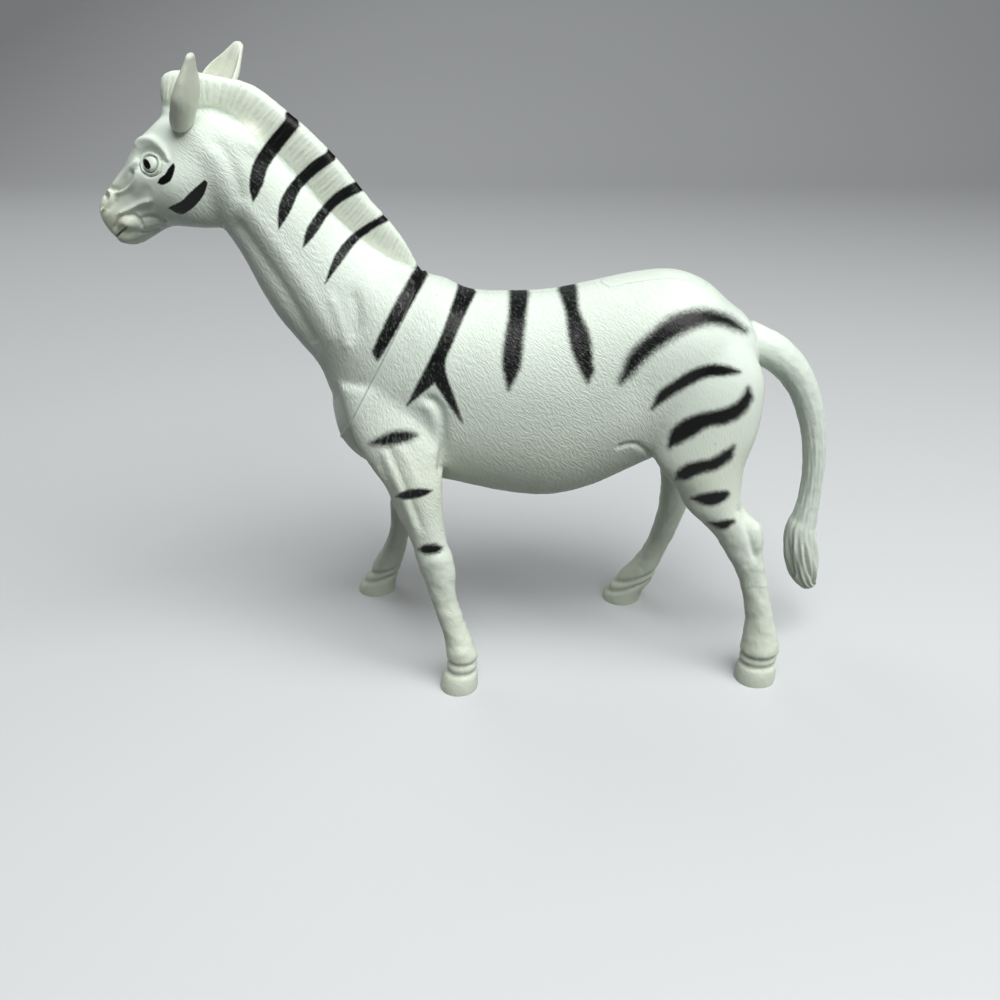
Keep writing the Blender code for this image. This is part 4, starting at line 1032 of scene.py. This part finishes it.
def painted(points, seen):
    # Signed distance in millimetres to the nearest stripe's edge (inside +), and its softness.
    pixels, metresPerPixel = picture(folded(points))
    outer = seen > 0.85
    edge = np.full(len(points), -9.0)
    soft = np.full(len(points), 0.2)
    for softness, *curves in stripes:
        corners = [curve[0] for curve in curves[1:] + curves[:1]]
        outline = np.vstack([curveThrough(curve + [corner], 5)
                             for curve, corner in zip(curves, corners)])
        outline = outline[np.linalg.norm(np.roll(outline, -1, axis=0) - outline, axis=1) > 1e-6]
        low, high = outline.min(axis=0) - stripeReach, outline.max(axis=0) + stripeReach
        here = np.flatnonzero(((pixels > low) & (pixels < high)).all(axis=1) & outer)
        if not len(here):
            continue
        distance = nearest(pixels[here], np.vstack([outline, outline[:1]]))[0]
        distance *= np.where(inside(pixels[here], outline), 1.0, -1.0)
        distance *= metresPerPixel[here] / mm
        closer = distance > edge[here]
        edge[here] = np.where(closer, distance, edge[here])
        soft[here] = np.where(closer, softness, soft[here])
    return edge, soft


# Where the plastic is warmer and darker in tone, and how much: its own tone on the muzzle and
# lips, painted shade on the belly and the mane's foot, stains and painted shade on the lower legs.
# The muzzle and lips are in pixels, belly and legs in height.
warm = {
    "muzzle": (96.0, 150.0), "muzzleShare": 0.75,
    "lips": (126.0, 224.0), "lipRadii": (15.0, 12.0), "lipShare": 0.45,
    "belly": 45.0 * mm, "bellyReach": 9.0 * mm, "bellyShare": 0.32,
    "maneShare": 0.45, "legs": (6.0 * mm, 42.0 * mm), "legShare": 0.42,
}


def warmthOf(pixels, points, onMane, rise):
    # The zones' shares added up: steps for muzzle and legs, bells for lips and belly, and the
    # mane's foot.
    muzzle = fadeOut(*warm["muzzle"], pixels[:, 0] + 0.35 * (230.0 - pixels[:, 1]))
    lower = fadeOut(*warm["legs"], points[:, 2])
    lips = np.exp(-(((pixels - warm["lips"]) / warm["lipRadii"]) ** 2).sum(axis=1))
    belly = np.exp(-((points[:, 2] - warm["belly"]) / warm["bellyReach"]) ** 2)
    return np.clip(warm["muzzleShare"] * muzzle + warm["lipShare"] * lips
                   + warm["bellyShare"] * belly + warm["maneShare"] * onMane * (1.0 - rise)
                   + warm["legShare"] * lower, 0.0, 1.0)


def finished(item, material):
    # Attributes of a cut shell, worked out from where its vertices lie now.
    mesh = item.data
    points = coordinates(item)
    left = folded(points)
    pixels, _ = picture(left)
    # The rims of the cuts are painted with the outside that they end.
    behind = np.abs((points - seamFront) @ seamNormal)
    rims = (np.abs(points[:, 1]) < joints["halfGap"]) | (behind < joints["seamGap"])
    seen, darkening = (read(mesh.attributes[name].data, "value")[:, 0] for name in ("seen", "darkening"))
    edge, soft = painted(points, np.where(rims, 1.5, seen))
    onMane, along, rise = maneField(points)
    bare = np.maximum(bareness(pixels, left), onMane)
    weights = [weight * (1.0 - bare) for weight in coatWeights(pixels)]
    weights[0] = np.where(onMane > 0.5, mane["hair"], weights[0])
    # No hair where the two patterns meet.
    weights = [weight * np.abs(2.0 * onMane - 1.0) for weight in weights]
    # The mane's grain runs from its foot to its crest.
    turn = math.radians(coat["directions"][0])
    up, on = rise * mane["hairRise"], along * mane["hairRun"]
    ribs = np.stack([up * math.cos(turn) - on * math.sin(turn),
                     up * math.sin(turn) + on * math.cos(turn), points[:, 1]], axis=1)
    place = np.where(onMane[:, None] > 0.5, ribs, coatPlace(left))
    dress(item, place, weights, darkening, warmthOf(pixels, points, onMane, rise), edge, soft)
    mesh.attributes.remove(mesh.attributes["seen"])
    mesh.materials.clear()
    mesh.materials.append(material)
    mesh.shade_smooth()
    mesh.set_sharp_from_angle(angle=math.radians(50.0))
    return item


# Shaders

def node(tree, kind, inputs=None, **settings):
    # A shader node; an input is either another node's socket or a plain value.
    made = tree.nodes.new("ShaderNode" + kind)
    for key, value in settings.items():
        setattr(made, key, value)
    for key, value in (inputs or {}).items():
        if isinstance(value, bpy.types.NodeSocket):
            tree.links.new(value, made.inputs[key])
        else:
            made.inputs[key].default_value = value
    return made


def maths(tree, operation, *values):
    return node(tree, "Math", dict(enumerate(values)), operation=operation).outputs[0]


def mixed(tree, share, first, second):
    return node(tree, "Mix", {0: share, 6: first, 7: second}, data_type="RGBA").outputs[2]


def stretched(tree, value, low, high, toLow=0.0, toHigh=1.0):
    return node(tree, "MapRange", {0: value, 1: low, 2: high, 3: toLow, 4: toHigh},
                interpolation_type="SMOOTHSTEP").outputs[0]


def noise(tree, vector, scale, detail=2.0, roughness=0.5):
    return node(tree, "TexNoise", {"Vector": vector, "Scale": scale, "Detail": detail,
                                   "Roughness": roughness}).outputs[0]


def lengthAlong(tree, vector, turn):
    # How far a place lies in the direction that is turned by so much from the first axis.
    return node(tree, "VectorMath", {0: vector, 1: (math.cos(turn), math.sin(turn), 0.0)},
                operation="DOT_PRODUCT").outputs["Value"]


def attribute(tree, name, output="Fac"):
    return node(tree, "Attribute", attribute_name=name).outputs[output]


def newGroup(name, inputs, outputs):
    group = bpy.data.node_groups.new(name, "ShaderNodeTree")
    for way, sockets in (("INPUT", inputs), ("OUTPUT", outputs)):
        for label, kind in sockets:
            group.interface.new_socket(label, in_out=way, socket_type="NodeSocket" + kind)
    given = group.nodes.new("NodeGroupInput").outputs
    return group, given, group.nodes.new("NodeGroupOutput").inputs


# Fine surface. Scales are per millimetre for hair and spray, which read the coat's own
# coordinates, and per metre for the rest; a pair is what a noise is stretched from.
surface = {
    "hairScale": (1.10, 2.90), "hairSway": 1.6, "tufts": (0.36, 0.66),
    "dotScale": 6.5, "dotReach": 3.0, "raggedScale": 1.3, "raggedReach": 0.8,
    # the paint's grey on raised hair is a painted highlight
    "coverage": (-1.45, 0.55), "ridgeSheenFrom": (0.62, 0.95), "ridgeSheen": 0.68,
    "cloudScale": 90.0, "clouds": (0.35, 0.70), "cloudShare": 0.30, "fineScale": 900.0,
    "speckScale": 1400.0, "specks": (0.755, 0.80), "patchScale": 60.0, "patches": (0.45, 0.65),
    "grainScale": 2600.0, "grain": 0.12, "wear": 0.16, "skinBump": 0.065 * mm,
    "earBump": 0.08 * mm,
    "shader": {"Metallic": 0.0, "IOR": 1.47, "Specular IOR Level": 0.24,
               "Subsurface Weight": 0.22, "Subsurface Radius": (1.0, 0.9, 0.7),
               "Subsurface Scale": 0.0007},
}


def coatGroup():
    # Moulded hair: streaks of noise in four directions, each as strong as its weight.
    group, given, out = newGroup(
        "mouldedHair", [("Place", "Vector"), ("Weights", "Color"), ("Fourth", "Float")],
        [("Height", "Float")])
    split = node(group, "SeparateColor", {0: given["Weights"]})
    weights = [split.outputs[0], split.outputs[1], split.outputs[2], given["Fourth"]]
    sway = noise(group, given["Place"], 0.35, 1.0)
    total = None
    for number, degrees in enumerate(coat["directions"]):
        turn = math.radians(degrees)
        run = lengthAlong(group, given["Place"], turn)
        across = lengthAlong(group, given["Place"], turn + math.pi / 2)
        across = maths(group, "MULTIPLY_ADD", sway, surface["hairSway"], across)
        lie = node(group, "CombineXYZ", {
            0: maths(group, "MULTIPLY", run, surface["hairScale"][0]),
            1: maths(group, "MULTIPLY", across, surface["hairScale"][1]), 2: 3.7 * number})
        tufts = stretched(group, noise(group, lie.outputs[0], 1.0, 2.0, 0.55), *surface["tufts"])
        hair = maths(group, "MULTIPLY", tufts, weights[number])
        total = hair if total is None else maths(group, "ADD", total, hair)
    group.links.new(total, out["Height"])
    return group


def sprayGroup():
    # Sprayed paint: full inside the outline, breaking up into dots across the soft edge.
    group, given, out = newGroup(
        "sprayedPaint", [("Place", "Vector"), ("Edge", "Float"), ("Softness", "Float")],
        [("Coverage", "Float")])
    away = maths(group, "DIVIDE", given["Edge"], given["Softness"])
    for dots, reach in ((noise(group, given["Place"], surface["dotScale"], 2.0, 0.6),
                         surface["dotReach"]),
                        (noise(group, given["Place"], surface["raggedScale"], 1.0),
                         surface["raggedReach"])):
        away = maths(group, "MULTIPLY_ADD", maths(group, "SUBTRACT", dots, 0.5), reach, away)
    group.links.new(stretched(group, away, *surface["coverage"]), out["Coverage"])
    return group


def plasticGroup():
    # Moulded plastic: clouds of two tones, a warmer tone that is partly painted shade, dirt and
    # painted shade in the hollows and on the mane's side, a few specks of dirt.
    group, given, out = newGroup(
        "mouldedPlastic",
        [("Plastic", "Color"), ("Shade", "Color"), ("Warm", "Color"), ("GrimeAndShade", "Color"),
         ("Object", "Vector"), ("Warmth", "Float"), ("Darkening", "Float")],
        [("Color", "Color"), ("Wear", "Float")])
    clouds = noise(group, given["Object"], surface["cloudScale"], 3.0)
    fine = noise(group, given["Object"], surface["fineScale"])
    specks = noise(group, given["Object"], surface["speckScale"], 1.0)
    patches = noise(group, given["Object"], surface["patchScale"])
    tone = maths(group, "MULTIPLY", stretched(group, clouds, *surface["clouds"]),
                 surface["cloudShare"])
    warmth = maths(group, "MULTIPLY", given["Warmth"], stretched(group, fine, 0.2, 0.7, 0.6, 1.0))
    darkShare = maths(group, "MULTIPLY", given["Darkening"], stretched(group, fine, 0.3, 0.7, 0.10, 0.30))
    dark = maths(group, "MULTIPLY", stretched(group, specks, *surface["specks"]),
                 stretched(group, patches, *surface["patches"]))
    colour = mixed(group, tone, given["Plastic"], given["Shade"])
    colour = mixed(group, warmth, colour, given["Warm"])
    colour = mixed(group, darkShare, colour, given["GrimeAndShade"])
    colour = mixed(group, maths(group, "MULTIPLY", dark, 0.8), colour, given["GrimeAndShade"])
    group.links.new(colour, out["Color"])
    group.links.new(fine, out["Wear"])
    return group


groups = {"hair": coatGroup(), "spray": sprayGroup(), "plastic": plasticGroup()}


def makeMaterial(name, plastic, shade, bumpDepth):
    material = bpy.data.materials.new(name)
    material.use_nodes = True
    tree = material.node_tree
    shader = tree.nodes["Principled BSDF"]
    place = attribute(tree, "place", "Vector")
    objectPlace = node(tree, "TexCoord").outputs["Object"]
    softness = attribute(tree, "paintSoft")
    skin = node(tree, "Group", {
        "Plastic": plastic, "Shade": shade, "Warm": look["warm"], "GrimeAndShade": look["grimeAndShade"],
        "Object": objectPlace, "Warmth": attribute(tree, "warmth"),
        "Darkening": attribute(tree, "darkening")}, node_tree=groups["plastic"]).outputs
    coverage = node(tree, "Group", {
        "Place": place, "Edge": attribute(tree, "paintEdge"), "Softness": softness},
        node_tree=groups["spray"]).outputs["Coverage"]
    hair = node(tree, "Group", {
        "Place": place, "Weights": attribute(tree, "coat", "Color"),
        "Fourth": attribute(tree, "coat", "Alpha")}, node_tree=groups["hair"]).outputs["Height"]
    # Painted highlight: on the broader stripes the paint turns grey on the raised hair, where the
    # ridges catch the light.
    ridgeSheen = maths(tree, "MULTIPLY",
                   stretched(tree, hair, *surface["ridgeSheenFrom"], 0.0, surface["ridgeSheen"]),
                   stretched(tree, softness, 0.13, 0.20))
    paint = mixed(tree, ridgeSheen, look["paint"], look["paintSheen"])
    tree.links.new(mixed(tree, coverage, skin["Color"], paint), shader.inputs["Base Color"])
    roughness = maths(tree, "MULTIPLY_ADD", skin["Wear"], surface["wear"],
                      look["plasticRoughness"] - surface["wear"] / 2)
    smooth = node(tree, "Mix", {0: coverage, 2: roughness, 3: look["paintRoughness"]})
    tree.links.new(smooth.outputs[0], shader.inputs["Roughness"])
    grain = maths(tree, "MULTIPLY", noise(tree, objectPlace, surface["grainScale"]),
                  surface["grain"])
    bump = node(tree, "Bump", {"Strength": 1.0, "Distance": bumpDepth,
                               "Height": maths(tree, "ADD", hair, grain)})
    tree.links.new(bump.outputs[0], shader.inputs["Normal"])
    for socket, value in surface["shader"].items():
        shader.inputs[socket].default_value = value
    return material


skinMaterial = makeMaterial("whiteMouldedPlastic", look["plastic"], look["plasticShade"],
                            surface["skinBump"])
earMaterial = makeMaterial("creamMouldedPlastic", look["ear"], look["earShade"],
                           surface["earBump"])
print("materials made")


# Body: outside, hollow, mouth for the spigot, socket for the tail

socketFineness = (4, 48)    # steps from row to row, and points round a section

bodyForm = wholeForm(fineness["bodyVoxel"])
cut(bodyForm, seamTool("aheadOfSeam", -1.0, joints["margin"]))
shaped(subdivided(bodyForm))
print("body skin:", len(bodyForm.data.vertices), "points")
cut(bodyForm, boxTool("belowGround", (-far, -far, -far), (far, far, 0.0)),
    seamTool("aheadOfSeam", -1.0, -joints["seamGap"] / 2),
    meshFrom("trunkHollow", lofted(*trunkAxis, joints["wall"], slice(1, -1))),
    meshFrom("neckMouth", lofted(*neckAxis, joints["wall"], slice(5), joints["spigotLength"])),
    meshFrom("tailSocket", closedTube(
        tailSurface(*socketFineness, tail["socketGap"], tail["socketRows"])[0])))

# Head and neck: outside, spigot, hollow, sockets for the ears

headForm = wholeForm(fineness["headVoxel"])
subdivided(cut(headForm, seamTool("behindSeam", 1.0, -joints["margin"])))
across, down = picture(folded(coordinates(headForm)))[0].T
refined(headForm, (across < finePart["leftOf"]) & (down > finePart["below"]))
pixels, _ = picture(folded(coordinates(headForm)))
refined(headForm, np.hypot(*(pixels - eye["centre"]).T) < eye["fineWithin"])
shaped(headForm)
print("head skin:", len(headForm.data.vertices), "points")

spigotInset = joints["wall"] + joints["clearance"]
spigot = cut(meshFrom("spigot", lofted(*neckAxis, spigotInset, slice(6))),
             seamTool("aheadOfSeam", -1.0, joints["spigotRoot"]),
             seamTool("behindSeam", 1.0, -joints["spigotLength"]))
for name in ("darkening", "seen"):
    setValues(spigot.data, name, np.zeros(len(spigot.data.vertices)))
cut(headForm, seamTool("behindSeam", 1.0, joints["seamGap"] / 2))
cut(headForm, spigot, operation="UNION")
cut(headForm, meshFrom("headHollow", lofted(*neckAxis, 2 * joints["wall"] + joints["clearance"],
                                            slice(-1), joints["spigotLength"])),
    *(meshFrom(side + "EarSocket", closedTube(
        earSurface(*ear[side], *socketFineness, ear["socketGap"])[0]))
      for side in ("left", "right")))


def halves(whole, prefix, leftName, rightName):
    # A copy of the whole for each side, less what lies past the middle plane.
    lap = joints["halfGap"] / 2
    for name, nodeName, low, high in ((leftName, prefix + "_left", -lap, far),
                                      (rightName, prefix + "_right", -far, lap)):
        shell = bpy.data.objects.new(name, whole.data.copy())
        bpy.context.scene.collection.objects.link(shell)
        cut(shell, boxTool("pastMiddle", (-far, low, -far), (far, high, far)))
        finished(shell, skinMaterial)
        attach(shell, "root")
        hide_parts(nodeName)
        print(name, len(shell.data.vertices), "points")
    remove(whole)


halves(bodyForm, "body_shell", "body_left_skin", "body_right_skin")
halves(headForm, "head_shell", "head_left_skin", "head_right_skin")

for side in ("left", "right"):
    item = makeEar("ear_" + side + "_leaf", *ear[side])
    item.data.materials.append(earMaterial)
    item.data.shade_smooth()
    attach(item, "root")
    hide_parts("ear_" + side)

item = makeTail()
item.data.materials.append(skinMaterial)
item.data.shade_smooth()
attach(item, "root")
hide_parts("tail")
print("ears and tail made")


# Stage

stage = {
    "near": -0.9, "bend": 0.55, "radius": 0.35, "top": 1.3, "halfWidth": 1.6, "across": 9,
    "around": 17, "seen": (0.64, 0.66, 0.67, 1.0), "bounce": (0.10, 0.105, 0.10, 1.0),
    "roughness": 0.85,
    "room": (0.92, 0.94, 0.93, 1.0), "roomStrength": 0.09,
    "lampAim": (0.0, 0.0, 0.06), "lampSize": (0.5, 0.4),
    "lamps": [("softAbove", (0.15, -0.24, 0.56), 4.5), ("softSide", (0.70, -0.25, 0.30), 0.8),
              ("softBehind", (-0.35, 0.40, 0.50), 1.1)],
}


def makeSweep():
    # A level line, a quarter circle and an upright line, carried sideways.
    bend = np.linspace(0.0, math.pi / 2, stage["around"])
    y = np.concatenate([[stage["near"]], stage["bend"] + stage["radius"] * np.sin(bend),
                        [stage["bend"] + stage["radius"]]])
    z = np.concatenate([[0.0], stage["radius"] * (1.0 - np.cos(bend)), [stage["top"]]])
    x = np.linspace(-stage["halfWidth"], stage["halfWidth"], stage["across"])
    points = np.stack(np.broadcast_arrays(x[None, :], y[:, None], z[:, None]), axis=-1)
    index = np.arange(len(y) * len(x)).reshape(len(y), len(x))
    quads = np.stack([index[:-1, :-1], index[:-1, 1:], index[1:, 1:], index[1:, :-1]], axis=-1)
    floor = meshFrom("floor", (points.reshape(-1, 3), quads.reshape(-1, 4).tolist()))
    floor.data.shade_smooth()
    material = bpy.data.materials.new("paleFloor")
    material.use_nodes = True
    tree = material.node_tree
    shader = tree.nodes["Principled BSDF"]
    path = tree.nodes.new("ShaderNodeLightPath")
    shown = maths(tree, "MAXIMUM", path.outputs["Is Camera Ray"], path.outputs["Is Glossy Ray"])
    tree.links.new(mixed(tree, shown, stage["bounce"], stage["seen"]),
                   shader.inputs["Base Color"])
    shader.inputs["Roughness"].default_value = stage["roughness"]
    floor.data.materials.append(material)


def makeLamp(name, place, power):
    data = bpy.data.lights.new(name, "AREA")
    data.shape = "RECTANGLE"
    data.size, data.size_y = stage["lampSize"]
    data.energy = power
    lamp = bpy.data.objects.new(name, data)
    bpy.context.scene.collection.objects.link(lamp)
    away = np.array(place) - np.array(stage["lampAim"])
    lamp.location = place
    lamp.rotation_euler = (math.atan2(math.hypot(away[0], away[1]), away[2]), 0.0,
                           math.atan2(away[0], -away[1]))


makeSweep()
for lamp in stage["lamps"]:
    makeLamp(*lamp)

world = bpy.data.worlds.new("softRoom")
world.use_nodes = True
background = world.node_tree.nodes["Background"]
background.inputs["Color"].default_value = stage["room"]
background.inputs["Strength"].default_value = stage["roomStrength"]
bpy.context.scene.world = world

cameraData = bpy.data.cameras.new("camera")
cameraData.sensor_width = view["sensor"]
cameraData.lens = view["sensor"] * view["focalPixels"] / view["imageSize"]
camera = bpy.data.objects.new("camera", cameraData)
camera.location = view["position"]
camera.rotation_euler = (math.pi / 2 - view["pitch"], 0.0, 0.0)
bpy.context.scene.collection.objects.link(camera)
bpy.context.scene.camera = camera
bpy.context.scene.view_settings.view_transform = "Standard"
print("floor, lamps and camera made")
